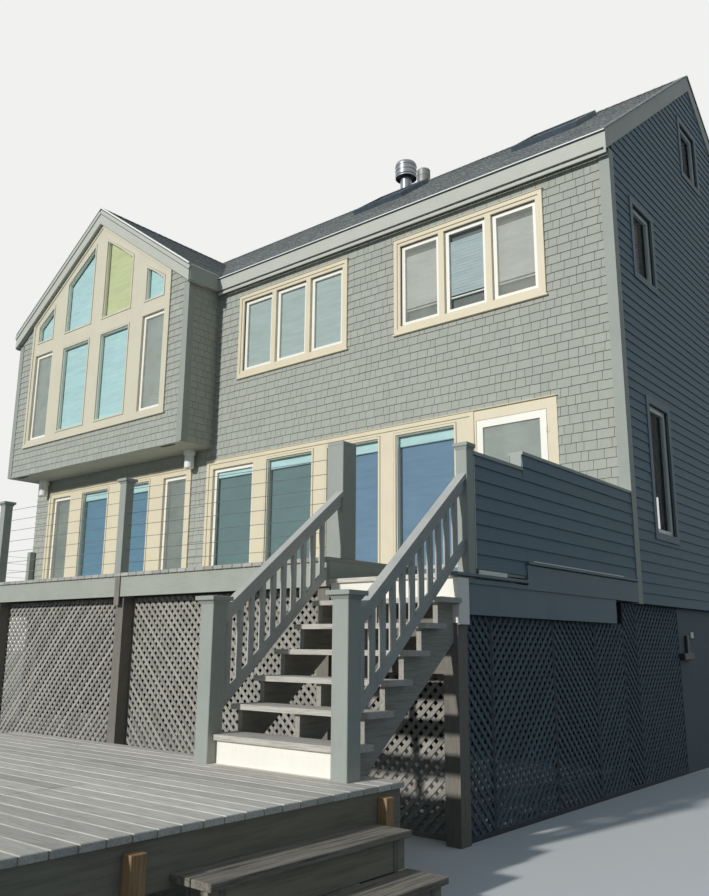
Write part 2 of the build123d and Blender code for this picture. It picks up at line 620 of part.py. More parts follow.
# Upper triple windows
upper_sashes = list(bay_sashes)
upper_panes = []
for holes in (upper_left_holes, upper_right_holes):
    opening = span(holes)
    add("triple_window_frames", frame_solid("y", grown(*opening, CASING_WIDTH), rectangle(*opening),
                                            [rectangle(*hole) for hole in holes], 0, 1))
    sashes, panes = sashed("y", holes, 0, 1)
    upper_sashes += sashes
    upper_panes += panes

# Main floor glazing
right_holes = [(sash_unit_left, sash_unit_right, UNIT_SILL, UNIT_HEAD)]
for index in range(RIGHT_FIXED_COUNT):
    x0 = right_fixed_left + right_pitch * index
    right_holes.append((x0, x0 + light_width, UNIT_SILL, UNIT_HEAD))
casing_right = rectangle(right_group_start - CASING_WIDTH / 2, door_left, UNIT_SILL - CASING_WIDTH,
                         UNIT_HEAD + CASING_WIDTH)
inset_head = UNIT_HEAD - DOOR_JAMB
lights_right = [rectangle(h[0], h[1], h[2] + DOOR_JAMB, inset_head) for h in right_holes]
add("main_window_wall", frame_solid("y", casing_right, rectangle(right_group_start, door_left, UNIT_SILL, UNIT_HEAD),
                                    lights_right, 0, 1))
left_holes = []
for index, (x0, x1) in enumerate(column_spans):
    extra = SASH_FACE if index in (0, 3) else 0
    left_holes.append((x0 - extra, x1 + extra, UNIT_SILL + DOOR_JAMB, inset_head))
casing_left = rectangle(left_group_start - CASING_WIDTH / 2, left_group_end + CASING_WIDTH / 2,
                        UNIT_SILL - CASING_WIDTH, UNIT_HEAD + CASING_WIDTH)
add("bay_room_windows", frame_solid("y", casing_left, rectangle(left_group_start, left_group_end, UNIT_SILL, UNIT_HEAD),
                                    [rectangle(*hole) for hole in left_holes], 0, 1))
first = right_holes[0]
main_sashes, main_panes = sashed("y", [left_holes[0], left_holes[3], (first[0], first[1], first[2] + DOOR_JAMB, inset_head)], 0, 1)
for outline in [rectangle(*left_holes[1]), rectangle(*left_holes[2])] + lights_right[1:]:
    main_panes.append(glass_solid("y", outline, 0, 1))

# Gable and back windows
gable_frames = []
for face, inward in ((0, -1), (LEFT_X, 1)):
    for hole in side_holes:
        gable_frames.append(frame_solid("x", grown(*hole, GABLE_CASING), rectangle(*hole),
                                        [rectangle(*hole)], face, inward))
    sashes, panes = sashed("x", side_holes, face, inward)
    main_sashes += sashes[:1]
    upper_sashes += sashes[1:]
    main_panes += panes[:1]
    upper_panes += panes[1:]
add("plain_window_frames", *gable_frames)
back_frames = []
for index, hole in enumerate(back_holes):
    middle = (hole[0] + hole[1]) / 2
    halves = [(hole[0], middle - TRIPLE_MULLION / 2, hole[2], hole[3]),
              (middle + TRIPLE_MULLION / 2, hole[1], hole[2], hole[3])]
    back_frames.append(frame_solid("y", grown(*hole, CASING_WIDTH), rectangle(*hole),
                                   [rectangle(*half) for half in halves], back_face, -1))
    sashes, panes = sashed("y", halves, back_face, -1)
    (main_sashes if index < 3 else upper_sashes).extend(sashes)
    (main_panes if index < 3 else upper_panes).extend(panes)
add("plain_window_frames", *back_frames)
add("window_sashes", *main_sashes)
add("window_sashes", *upper_sashes)
add("window_glass", *main_panes)
add("window_glass", *upper_panes)

# Deck door with its frame
door_bottom = MAIN_FLOOR_TOP
jamb_left = door_left + DOOR_JAMB
jamb_right = RIGHT_GROUP_END - DOOR_JAMB
door_frame = block(door_left, RIGHT_GROUP_END, 0, FRAME_INSET, door_bottom, UNIT_HEAD)
door_frame += block(door_left, RIGHT_GROUP_END + CASING_WIDTH, -CASING_PROUD, 0, DECK_TOP, UNIT_HEAD + CASING_WIDTH)
door_frame -= block(jamb_left, jamb_right, -WALL, 2 * WALL, door_bottom + DOOR_THRESHOLD, UNIT_HEAD - DOOR_JAMB)
door_frame -= block(door_left, RIGHT_GROUP_END, -WALL, 0, DECK_TOP, door_bottom)
leaf_x0 = jamb_left + DOOR_GAP
leaf_x1 = jamb_right - DOOR_GAP
leaf_z0 = door_bottom + DOOR_THRESHOLD + DOOR_GAP
leaf_z1 = UNIT_HEAD - DOOR_JAMB - DOOR_GAP
leaf_front = -CASING_PROUD
leaf = block(leaf_x0, leaf_x1, leaf_front, leaf_front + DOOR_THICK, leaf_z0, leaf_z1)
pane_box = (leaf_x0 + DOOR_STILE, leaf_x1 - DOOR_STILE, leaf_z0 + DOOR_BOTTOM_RAIL, leaf_z1 - DOOR_TOP_RAIL)
leaf -= block(pane_box[0], pane_box[1], -WALL, WALL, pane_box[2], pane_box[3])
hinge_x = leaf_x1 + DOOR_GAP / 2
hinge_y = leaf_front - HINGE_RADIUS - HINGE_LIFT
for index in range(HINGE_COUNT):
    z = leaf_z0 + (leaf_z1 - leaf_z0) * (0.12 + 0.38 * index)
    knuckle = Cylinder(HINGE_RADIUS, HINGE_LENGTH / 2 - HINGE_LIFT, align=(Align.CENTER, Align.CENTER, Align.MIN))
    leaf += Pos(hinge_x, hinge_y, z + HINGE_LIFT) * knuckle
    leaf += block(hinge_x - HINGE_PLATE, hinge_x, leaf_front - HINGE_RADIUS / 2, leaf_front,
                  z + HINGE_LIFT, z + HINGE_LENGTH / 2)
    door_frame += Pos(hinge_x, hinge_y, z - HINGE_LENGTH / 2) * knuckle
    door_frame += block(hinge_x, hinge_x + HINGE_PLATE, -CASING_PROUD - HINGE_RADIUS / 2, -CASING_PROUD,
                        z - HINGE_LENGTH / 2, z - HINGE_LIFT)
add("door_frame", door_frame)
add("door_leaf", leaf)
mid = leaf_front + DOOR_THICK / 2
add("door_pane", block(pane_box[0], pane_box[1], mid - DOOR_PANE / 2, mid + DOOR_PANE / 2, pane_box[2], pane_box[3]))
handle_x = leaf_x0 + DOOR_STILE / 2
handle_z = leaf_z0 + HANDLE_HEIGHT
plate = block(handle_x - 22, handle_x + 22, leaf_front - 8, leaf_front, handle_z - 110, handle_z + 110)
spindle = Pos(handle_x, leaf_front - 30, handle_z) * Rot(90, 0, 0) * Cylinder(9, 50)
lever = block(handle_x - 10, handle_x + 110, leaf_front - 62, leaf_front - 46, handle_z - 10, handle_z + 10)
add("door_handle", plate + spindle + lever)

# Deck surfaces and framing
deck_right = STAIR_LEFT
add("deck_surface", block(LEFT_X, deck_right, DECK_FRONT, 0, DECK_TOP - BOARD_THICK, DECK_TOP))
walk = block(deck_right, -SCREEN_THICK, LANDING_BACK, -CORNER_THICK, DECK_TOP - BOARD_THICK, DECK_TOP)
landing = block(deck_right, 0, TOP_RISER - TREAD_NOSE, SCREEN_FRONT, LANDING_TOP - BOARD_THICK, LANDING_TOP)
landing += block(deck_right, -SCREEN_THICK, SCREEN_FRONT, LANDING_BACK, LANDING_TOP - BOARD_THICK, LANDING_TOP)
add("deck_surface", walk, landing)

frame_top = DECK_TOP - BOARD_THICK
fascia_bottom = frame_top - DECK_FASCIA_HEIGHT
front_fascia = block(LEFT_X + DECK_FASCIA_SET, deck_right, FASCIA_FACE, FRAME_FRONT,
                     fascia_bottom, frame_top)
side_fascia = block(LEFT_X + DECK_FASCIA_SET, LEFT_X + DECK_FASCIA_SET + DECK_FASCIA_THICK,
                    FRAME_FRONT, 0, fascia_bottom, frame_top)
step_fascia = block(deck_right - DECK_FASCIA_THICK, deck_right, FRAME_FRONT, LANDING_BACK,
                    fascia_bottom, frame_top)
add("deck_fascia", front_fascia, side_fascia, step_fascia)
back_riser = block(deck_right, -SCREEN_THICK, LANDING_BACK, LANDING_BACK + RISER_BOARD,
                   LANDING_TOP - BOARD_THICK, DECK_TOP - BOARD_THICK)
side_rim = block(-SCREEN_THICK, CASING_PROUD, LANDING_BACK, -CORNER_THICK, SIDE_BEAM_TOP, DECK_TOP - 55)
side_rim += block(-SCREEN_THICK, CASING_PROUD, POST_BACK, LANDING_BACK, SIDE_BEAM_TOP, LANDING_TOP - BOARD_THICK)
add("landing_rim", back_riser, side_rim)

joist_x0 = LEFT_X + DECK_FASCIA_SET + DECK_FASCIA_THICK
joist_x1 = deck_right - DECK_FASCIA_THICK
joists = []
y = FRAME_FRONT + JOIST_GAP
while y < -JOIST_WIDTH:
    joists.append(block(joist_x0, joist_x1, y, y + JOIST_WIDTH, frame_top - JOIST_HEIGHT, frame_top))
    y += JOIST_GAP
add("deck_framing", *joists)
beam_back = block(-SIDE_BEAM_THICK, CASING_PROUD / 2, POST_BACK, SIDE_BEAM_BACK,
                  SIDE_BEAM_BOTTOM, SIDE_BEAM_TOP)
add("landing_rim", beam_back)

# Posts that carry the deck, and piles that carry the house
posts = [block(-SUPPORT_POST, 0, FRAME_FRONT, POST_BACK, 0, LANDING_TOP - BOARD_THICK)]
post_xs = [STAIR_LEFT - DECK_FASCIA_THICK - SUPPORT_POST / 2] + [FIRST_POST_X - POST_PITCH * i for i in range(RAIL_BAYS)]
post_xs.append(LEFT_X + DECK_FASCIA_SET + DECK_FASCIA_THICK + SUPPORT_POST / 2)
for x in post_xs:
    posts.append(block(x - SUPPORT_POST / 2, x + SUPPORT_POST / 2, FRAME_FRONT, POST_BACK, 0, frame_top))
add("deck_posts", *posts)
piles = []
pile_xs = (-BASE_INSET - PILE, LEFT_X / 3 - PILE / 2, LEFT_X * 2 / 3 - PILE / 2, LEFT_X + BASE_INSET)
for x in pile_xs:
    for y in (BASE_INSET, RIDGE_Y - PILE / 2, HOUSE_DEPTH - BASE_INSET - PILE):
        under_wall = x in (pile_xs[0], pile_xs[-1]) or y != RIDGE_Y - PILE / 2
        top = WALL_BOTTOM if under_wall else MAIN_FLOOR_TOP - MAIN_FLOOR_THICK
        piles.append(block(x, x + PILE, y, y + PILE, 0, top))
add("house_piles", *piles)

# Cable railing
line_y = DECK_FRONT + RAIL_POST / 2
rail_xs = [FIRST_POST_X - POST_PITCH * i for i in range(RAIL_BAYS)] + [LEFT_X + RAIL_POST / 2 + DECK_FASCIA_SET]


def capped_post(x, y, size, bottom, top, cap_out):
    """A square post with a necking mould and a flat cap that overhangs it."""
    half = size / 2
    post = block(x - half, x + half, y - half, y + half, bottom, top - CAP_THICK)
    neck = half + cap_out / 2
    post += block(x - neck, x + neck, y - neck, y + neck, top - 1.6 * CAP_THICK, top - CAP_THICK)
    half += cap_out
    return post + block(x - half, x + half, y - half, y + half, top - CAP_THICK, top)


rail_posts = []
for x in rail_xs:
    rail_posts.append(capped_post(x, line_y, RAIL_POST, DECK_TOP, DECK_TOP + RAIL_POST_HEIGHT, CAP_OUT))
wall_post_y = -RAIL_POST / 2 - CASING_PROUD
rail_posts.append(capped_post(rail_xs[-1], wall_post_y, RAIL_POST, DECK_TOP, DECK_TOP + RAIL_POST_HEIGHT, 0))
add("rail_posts", *rail_posts)


def cable(x0, y0, x1, y1, z):
    """One straight cable between two posts, with few sides because it is thin."""
    start, end = Vector(x0, y0, z), Vector(x1, y1, z)
    section = Plane(origin=start, z_dir=end - start) * RegularPolygon(CABLE_RADIUS, CABLE_SIDES)
    return extrude(section, amount=(end - start).length)


cables = []
tall_x = STAIR_LEFT - TALL_NEWEL / 2
tall_y = TALL_NEWEL_FRONT + TALL_NEWEL / 2
for index in range(CABLE_COUNT):
    z = DECK_TOP + CABLE_FIRST + CABLE_PITCH * index
    start, start_y = tall_x - TALL_NEWEL / 2, tall_y - TALL_NEWEL / 4
    for x in rail_xs:
        cables.append(cable(x + RAIL_POST / 2, line_y, start, start_y, z))
        start, start_y = x - RAIL_POST / 2, line_y
    cables.append(cable(rail_xs[-1], line_y + RAIL_POST / 2, rail_xs[-1], wall_post_y - RAIL_POST / 2, z))
add("rail_cables", *cables)

# Side screen wall
screen = [(SCREEN_FRONT, SCREEN_LOW_BOTTOM), (LANDING_BACK, SCREEN_LOW_BOTTOM),
          (LANDING_BACK, SCREEN_LOW_BOTTOM + SCREEN_STEP), (-CASING_PROUD, SCREEN_LOW_BOTTOM + SCREEN_STEP),
          (-CASING_PROUD, SCREEN_LOW_TOP + SCREEN_STEP), (LANDING_BACK, SCREEN_LOW_TOP + SCREEN_STEP),
          (LANDING_BACK, SCREEN_LOW_TOP), (SCREEN_FRONT, SCREEN_LOW_TOP)]
screen_wall = prism_x(screen, -SCREEN_THICK, 0)
for y0, y1, z in ((SCREEN_FRONT, LANDING_BACK, SCREEN_LOW_TOP), (LANDING_BACK, -CASING_PROUD, SCREEN_LOW_TOP + SCREEN_STEP)):
    screen_wall += block(-SCREEN_THICK - SCREEN_CAP_OUT, SCREEN_CAP_OUT, y0, y1, z, z + SCREEN_CAP_THICK)
add("screen_wall", screen_wall)

# Stair flight
first_face = TOP_RISER - STAIR_RUN * (STAIR_RISERS - 1)
newel_y = first_face - NEWEL_AHEAD + LOW_NEWEL / 2
newel_xs = (STAIR_LEFT - LEFT_NEWEL_OUT + LOW_NEWEL / 2, RIGHT_NEWEL_OUT - LOW_NEWEL / 2)
newel_room = LOW_NEWEL / 2 + NEWEL_NOTCH
# The room beside each foot newel, kept clear of treads, stringers and riser board
newel_notches = [block(newel_xs[0] - STAIR_WIDTH, newel_xs[0] + newel_room, newel_y - newel_room, newel_y + newel_room,
                       0, DECK_TOP),
                 block(newel_xs[1] - newel_room, newel_xs[1] + STAIR_WIDTH, newel_y - newel_room, newel_y + newel_room,
                       0, DECK_TOP)]
treads = []
for step in range(1, STAIR_RISERS):
    face = TOP_RISER - STAIR_RUN * (STAIR_RISERS - step)
    top = PLATFORM_TOP + STAIR_RISE * step
    treads.append(block(STAIR_LEFT + STRINGER_INSET, TREAD_OUT, face - TREAD_NOSE, face - TREAD_NOSE + TREAD_DEPTH,
                        top - TREAD_THICK, top))
for notch in newel_notches:
    treads[0] -= notch
add("stair_treads", *treads)


def stringer_outline():
    """The sawtooth side of a cut stringer, from the platform to the landing."""
    points = []
    for step in range(1, STAIR_RISERS):
        face = TOP_RISER - STAIR_RUN * (STAIR_RISERS - step) + RISER_BOARD
        top = PLATFORM_TOP + STAIR_RISE * step - TREAD_THICK
        low = PLATFORM_TOP if step == 1 else top - STAIR_RISE
        points += [(face, low), (face, top)]
    last = TOP_RISER + RISER_BOARD
    points += [(last, points[-1][1]), (last, LANDING_TOP - BOARD_THICK - STAIR_RISE)]
    drop = STRINGER_DEPTH * math.hypot(STAIR_RUN, STAIR_RISE) / STAIR_RUN
    points += [(last, LANDING_TOP - STAIR_RISE - drop), (points[0][0] + STRINGER_DEPTH, PLATFORM_TOP)]
    return points


middle_x = STAIR_LEFT / 2
stringers = []
for x in (STAIR_LEFT + STRINGER_INSET * 3, middle_x - STRINGER_THICK / 2, -STRINGER_INSET * 3 - STRINGER_THICK):
    stringer = prism_x(stringer_outline(), x, x + STRINGER_THICK)
    for notch in newel_notches:
        stringer -= notch
    stringers.append(stringer)
add("stair_stringers", *stringers)

bottom_riser = block(newel_xs[0] + newel_room, newel_xs[1] - newel_room, first_face, first_face + RISER_BOARD,
                     PLATFORM_TOP, PLATFORM_TOP + STAIR_RISE - TREAD_THICK)
top_riser = block(STAIR_LEFT, CASING_PROUD, TOP_RISER, TOP_RISER + RISER_BOARD,
                  LANDING_TOP - STAIR_RISE, LANDING_TOP - BOARD_THICK)
top_riser += block(0, CASING_PROUD, FRAME_FRONT, POST_BACK, LANDING_TOP - 2 * STAIR_RISE,
                   LANDING_TOP - BOARD_THICK)
add("riser_boards", bottom_riser, top_riser)
add("deck_framing", block(STAIR_LEFT, -SUPPORT_POST, FRAME_FRONT, FRAME_FRONT + JOIST_WIDTH,
                          LANDING_TOP - HEADER_DROP, LANDING_TOP - BOARD_THICK))

# Newels and balustrades
newels = []
for x in newel_xs:
    newels.append(capped_post(x, newel_y, LOW_NEWEL, PLATFORM_TOP, LOW_NEWEL_TOP, NEWEL_CAP_OUT))
newels.append(capped_post(tall_x, tall_y, TALL_NEWEL, DECK_TOP, TALL_NEWEL_TOP, 0))
slim_y = TALL_NEWEL_FRONT + SLIM_NEWEL / 2
slim_x = SLIM_NEWEL_OUT - SLIM_NEWEL / 2
newels.append(capped_post(slim_x, slim_y, SLIM_NEWEL, LANDING_TOP, SLIM_NEWEL_TOP, NEWEL_CAP_OUT / 2))
add("newel_posts", *newels)


def nosing(y):
    """Height of the line through the tread noses."""
    return LANDING_TOP + STAIR_RISE / STAIR_RUN * (y - (TOP_RISER - TREAD_NOSE))


def balustrade(x, rail_end, shoe_end, above_foot, above_head):
    """A sloping handrail and shoe rail joined by upright balusters.

    above_foot and above_head are the handrail's heights above the tread noses at its two ends.
    """
    foot = newel_y + LOW_NEWEL / 2

    def rail_top(y):
        """Height of the handrail's top."""
        return nosing(y) + above_foot + (above_head - above_foot) * (y - foot) / (rail_end - foot)

    def shoe_top(y):
        """Height of the shoe rail's top."""
        return nosing(y) + SHOE_CLEAR + SHOE_HEIGHT

    def rail(width, line, drop, depth, end):
        points = [(foot, line(foot) - drop - depth), (end, line(end) - drop - depth),
                  (end, line(end) - drop), (foot, line(foot) - drop)]
        return prism_x(points, x - width / 2, x + width / 2)

    solid = rail(HANDRAIL_WIDTH, rail_top, 0, HANDRAIL_THICK, rail_end)
    solid += rail(BALUSTER, rail_top, HANDRAIL_THICK, SHOE_HEIGHT, rail_end)
    solid += rail(BALUSTER, shoe_top, 0, SHOE_HEIGHT, shoe_end)
    pitch = (rail_end - foot) / (BALUSTER_COUNT + 1)
    for index in range(BALUSTER_COUNT):
        y = foot + pitch * (index + 1)
        if y + BALUSTER / 2 < shoe_end:
            solid += block(x - BALUSTER / 2, x + BALUSTER / 2, y - BALUSTER / 2, y + BALUSTER / 2,
                           shoe_top(y) - SHOE_HEIGHT / 2, rail_top(y) - HANDRAIL_THICK - SHOE_HEIGHT / 2)
    return solid


add("stair_balustrades", balustrade(STAIR_LEFT - LEFT_RAIL_OUT, tall_y - TALL_NEWEL / 2, DECK_FRONT,
                                    LEFT_RAIL_FOOT, LEFT_RAIL_HEAD))
add("stair_balustrades", balustrade(-RIGHT_RAIL_IN, slim_y - SLIM_NEWEL / 2, slim_y - SLIM_NEWEL / 2,
                                    RIGHT_RAIL_FOOT, RIGHT_RAIL_HEAD))

# Lattice skirts and the closed end of the base


def lattice(axis, a0, a1, b0, b1, face, uprights):
    """A framed lattice: two layers of slats cut to their frame, with uprights at given places."""
    plane, way = (Plane.XZ, (0, 1, 0)) if axis == "y" else (Plane.YZ, (1, 0, 0))
    border = Polygon(*rectangle(a0, a1, b0, b1), align=None)
    rails = border - Polygon(*rectangle(a0 + LATTICE_RAIL, a1 - LATTICE_RAIL, b0 + LATTICE_RAIL, b1 - LATTICE_RAIL),
                             align=None)
    rails += [Polygon(*rectangle(a - LATTICE_RAIL / 2, a + LATTICE_RAIL / 2, b0, b1), align=None) for a in uprights]
    reach = LATH_WIDTH * math.sqrt(0.5)
    height = b1 - b0
    feet = [a0 + LATH_PITCH * index for index in range(1, int((a1 - a0 + height) / LATH_PITCH) + 1)]
    layers = []
    for depth, rise in ((0, height), (LATTICE_THICK / 2, 0)):
        slats = [Polygon((foot - height + rise - reach, b0), (foot - height + rise + reach, b0),
                         (foot - rise + reach, b1), (foot - rise - reach, b1), align=None) for foot in feet]
        slats = (Sketch() + slats) & border
        offset = Vector(*way) * (face + depth)
        layers.append(Pos(offset) * extrude(plane * (rails + slats), amount=LATTICE_THICK / 2, dir=way))
    return layers[0] + layers[1]


lattice_top = fascia_bottom - 8
side_face = -STORAGE_SET - LATTICE_THICK
first_post_right = FIRST_POST_X + SUPPORT_POST / 2
add("front_lattice", lattice("y", LEFT_X + DECK_FASCIA_SET + DECK_FASCIA_THICK, first_post_right,
                                  0, lattice_top, POST_BACK, [FIRST_POST_X - POST_PITCH * i for i in (1, 2)]))
add("front_lattice", lattice("y", first_post_right, STAIR_LEFT, 0, lattice_top, POST_BACK, []))
add("front_lattice", lattice("y", STAIR_LEFT, -SUPPORT_POST, 0, LANDING_TOP - HEADER_DROP, POST_BACK, []))
add("side_lattice", lattice("x", POST_BACK, 0, 0, SIDE_BEAM_BOTTOM, side_face, [-2060, -1030]))
add("side_lattice", lattice("x", 0, LATTICE_SIDE_END, 0, WALL_BOTTOM, side_face, []))
wall_x = -STORAGE_SET - STORAGE_WALL_THICK
storage = block(wall_x, -STORAGE_SET, LATTICE_SIDE_END, HOUSE_DEPTH - STORAGE_SET, 0, WALL_BOTTOM)
add("base_walls", storage)
add("base_walls", block(LEFT_X + STORAGE_SET, LEFT_X + BASE_INSET, 0, HOUSE_DEPTH - STORAGE_SET, 0, WALL_BOTTOM))
add("base_walls", block(LEFT_X + BASE_INSET, wall_x, HOUSE_DEPTH - BASE_INSET, HOUSE_DEPTH - STORAGE_SET,
                            0, WALL_BOTTOM))

# Lower platform and its steps
surface_low = PLATFORM_TOP - BOARD_THICK
add("platform_boards", block(PLATFORM_LEFT, PLATFORM_RIGHT, PLATFORM_FRONT, PLATFORM_BACK, surface_low, PLATFORM_TOP))
inset = DECK_FASCIA_SET
t = PLATFORM_SKIRT_THICK
skirt_low = surface_low - PLATFORM_SKIRT
left, right = PLATFORM_LEFT + inset, PLATFORM_RIGHT - inset
front, back = PLATFORM_FRONT + inset, PLATFORM_BACK - inset
add("platform_skirt", block(left, right, front, front + t, skirt_low, surface_low),
    block(left, right, back - t, back, skirt_low, surface_low),
    block(left, left + t, front + t, back - t, skirt_low, surface_low),
    block(right - t, right, front + t, back - t, skirt_low, surface_low))
platform_posts = []
for x in (PLATFORM_LEFT + inset + t, (PLATFORM_LEFT + PLATFORM_RIGHT) / 2, PLATFORM_RIGHT - inset - t - PLATFORM_POST):
    for y in (PLATFORM_FRONT + inset + t, (PLATFORM_FRONT + PLATFORM_BACK) / 2,
              PLATFORM_BACK - inset - t - PLATFORM_POST):
        platform_posts.append(block(x, x + PLATFORM_POST, y, y + PLATFORM_POST, 0, surface_low))
add("platform_supports", *platform_posts)

step_treads = []
step_sides = []
for step in range(1, STEP_COUNT + 1):
    top = PLATFORM_TOP - STEP_RISE * step
    x0 = PLATFORM_RIGHT - inset + (step - 1) * (STEP_GOING - STEP_LAP)
    step_treads.append(block(x0, x0 + STEP_GOING, STEP_FRONT, STEP_BACK, top - BOARD_THICK, top))
    for y in (STEP_FRONT + PLATFORM_POST, STEP_BACK - PLATFORM_POST - t):
        step_sides.append((x0, y, top - BOARD_THICK))
add("platform_boards", *step_treads)
supports = []
for x0, y, top in step_sides:
    start = x0 if x0 == PLATFORM_RIGHT - inset else x0 + STEP_LAP
    supports.append(block(start, x0 + STEP_GOING - STEP_LAP, y, y + t, 0, top))
add("platform_supports", *supports)

# Flue and vent behind the ridge
flue_base = roof_top(FLUE_Y) - ROOF_DEPTH / 2
flue = Pos(FLUE_X, FLUE_Y, flue_base) * Cylinder(FLUE_RADIUS, FLUE_TOP - FLUE_CAP_HEIGHT - flue_base,
                                                 align=(Align.CENTER, Align.CENTER, Align.MIN))
flue += Pos(FLUE_X, FLUE_Y, FLUE_TOP - FLUE_CAP_HEIGHT) * Cylinder(
    FLUE_CAP_RADIUS, FLUE_CAP_HEIGHT, align=(Align.CENTER, Align.CENTER, Align.MIN))
vent_base = roof_top(FLUE_Y) - ROOF_DEPTH / 2
vent = Pos(VENT_X, FLUE_Y, vent_base) * Cylinder(VENT_RADIUS, VENT_TOP - vent_base,
                                                 align=(Align.CENTER, Align.CENTER, Align.MIN))
add("flue_and_vent", flue - roof_back, vent - roof_back)

# Lamps under the bay, close to the main wall
lamps = []
lamp_y = -CASING_PROUD - LAMP_CLEAR - LAMP_RADIUS
for x in (LEFT_X + LAMP_INSET, BAY_RIGHT - LAMP_INSET):
    lamp = Pos(x, lamp_y, BAY_BOTTOM - LAMP_HEIGHT) * Cylinder(
        LAMP_RADIUS, LAMP_HEIGHT, align=(Align.CENTER, Align.CENTER, Align.MIN))
    lamps.append(chamfer(lamp.edges().group_by(Axis.Z)[0], LAMP_RADIUS * 0.4))
add("bay_lamps", *lamps)

# Export, with the origin at the centre of the outline on the ground
boxes = [solid.bounding_box() for solids in parts.values() for solid in solids]
x_low, x_high = min(b.min.X for b in boxes), max(b.max.X for b in boxes)
y_low, y_high = min(b.min.Y for b in boxes), max(b.max.Y for b in boxes)
home = Pos(-(x_low + x_high) / 2, -(y_low + y_high) / 2, 0)
print("moved by", home.position, "hinge", home.position + Vector(hinge_x, hinge_y, 0))
print("low", min(b.min.Z for b in boxes), "high", max(b.max.Z for b in boxes))
os.makedirs("parts", exist_ok=True)
for name, solids in parts.items():
    shapes = [home * piece for solid in solids for piece in solid.solids()]
    export_step(shapes[0] if len(shapes) == 1 else Compound(shapes), f"parts/{name}.step")
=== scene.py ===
"""Beach house on a raised base: cladding, roofing, boards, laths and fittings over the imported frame.

The frame's nodes keep their place and shape. What is modelled here is laid over a node or stands for it.
"""
import logging
import math
import random
from dataclasses import dataclass, field
from enum import Enum
from typing import Callable, Iterator, Sequence

import bpy
import numpy as np
from mathutils import Matrix, Vector


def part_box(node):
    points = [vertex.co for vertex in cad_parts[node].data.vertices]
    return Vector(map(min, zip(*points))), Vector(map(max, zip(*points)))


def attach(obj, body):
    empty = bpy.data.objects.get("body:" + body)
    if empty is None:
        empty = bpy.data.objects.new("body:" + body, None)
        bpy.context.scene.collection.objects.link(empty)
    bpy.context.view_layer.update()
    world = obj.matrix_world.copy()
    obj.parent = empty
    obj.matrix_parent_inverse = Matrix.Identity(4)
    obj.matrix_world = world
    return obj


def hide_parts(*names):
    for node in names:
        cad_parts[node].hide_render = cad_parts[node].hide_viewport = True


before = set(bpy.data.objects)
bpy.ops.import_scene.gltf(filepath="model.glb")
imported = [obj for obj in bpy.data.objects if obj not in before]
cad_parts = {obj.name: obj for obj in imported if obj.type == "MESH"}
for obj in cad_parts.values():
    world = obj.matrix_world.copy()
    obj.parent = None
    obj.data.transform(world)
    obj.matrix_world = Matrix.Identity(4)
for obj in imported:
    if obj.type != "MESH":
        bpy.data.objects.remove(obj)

LOG = logging.getLogger("beach_house")
BODY = "house"
Rect = tuple[float, float, float, float]
Piece = bpy.types.Object
Tree = bpy.types.NodeTree
Node = bpy.types.Node
Socket = bpy.types.NodeSocket


class Pick(Enum):
    """Which elements of a mesh an edit step works on."""

    VERTS = "VERT"
    EDGES = "EDGE"
    FACES = "FACE"


class Grain(Enum):
    """The way the fibres of a board run, as how much its pattern is squeezed along X, Y and Z."""

    ALONG_X = (0.06, 1.0, 1.0)
    ALONG_Y = (1.0, 0.06, 1.0)
    ALONG_Z = (1.0, 1.0, 0.06)
    NONE = (1.0, 1.0, 1.0)


def linear(hex_colour: str) -> tuple[float, float, float, float]:
    """Turns an sRGB hex colour into the linear values that shaders take.

    Args:
        hex_colour: a colour such as "#B9BDB0".

    Returns:
        Red, green, blue and full alpha.
    """
    channels = [int(hex_colour[i:i + 2], 16) / 255.0 for i in (1, 3, 5)]
    red, green, blue = [c / 12.92 if c <= 0.04045 else ((c + 0.055) / 1.055) ** 2.4 for c in channels]
    return red, green, blue, 1.0


def shaded(hex_colour: str, factor: float) -> tuple[float, float, float, float]:
    """The same colour made lighter or darker by a factor on its linear values."""
    red, green, blue, alpha = linear(hex_colour)
    return red * factor, green * factor, blue * factor, alpha


def add_node(tree: Tree, kind: str, links: dict | None = None, values: dict | None = None,
             stops: Sequence[tuple] | None = None, **settings: object) -> Node:
    """Adds one shader node.

    Args:
        tree: the tree that gets the node.
        kind: the node's type name, without its first word.
        links: sockets to join, keyed by this node's input.
        values: fixed numbers or colours, keyed by input.
        stops: places and colours of a colour ramp.
        settings: the node's own properties.

    Returns:
        The new node.
    """
    made = tree.nodes.new("ShaderNode" + kind)
    for name, value in settings.items():
        setattr(made, name, value)
    for key, value in (values or {}).items():
        made.inputs[key].default_value = value
    for key, socket in (links or {}).items():
        tree.links.new(socket, made.inputs[key])
    if stops:
        ramp = made.color_ramp
        while len(ramp.elements) < len(stops):
            ramp.elements.new(0.5)
        for element, (place, colour) in zip(ramp.elements, stops):
            element.position, element.color = place, colour
    return made


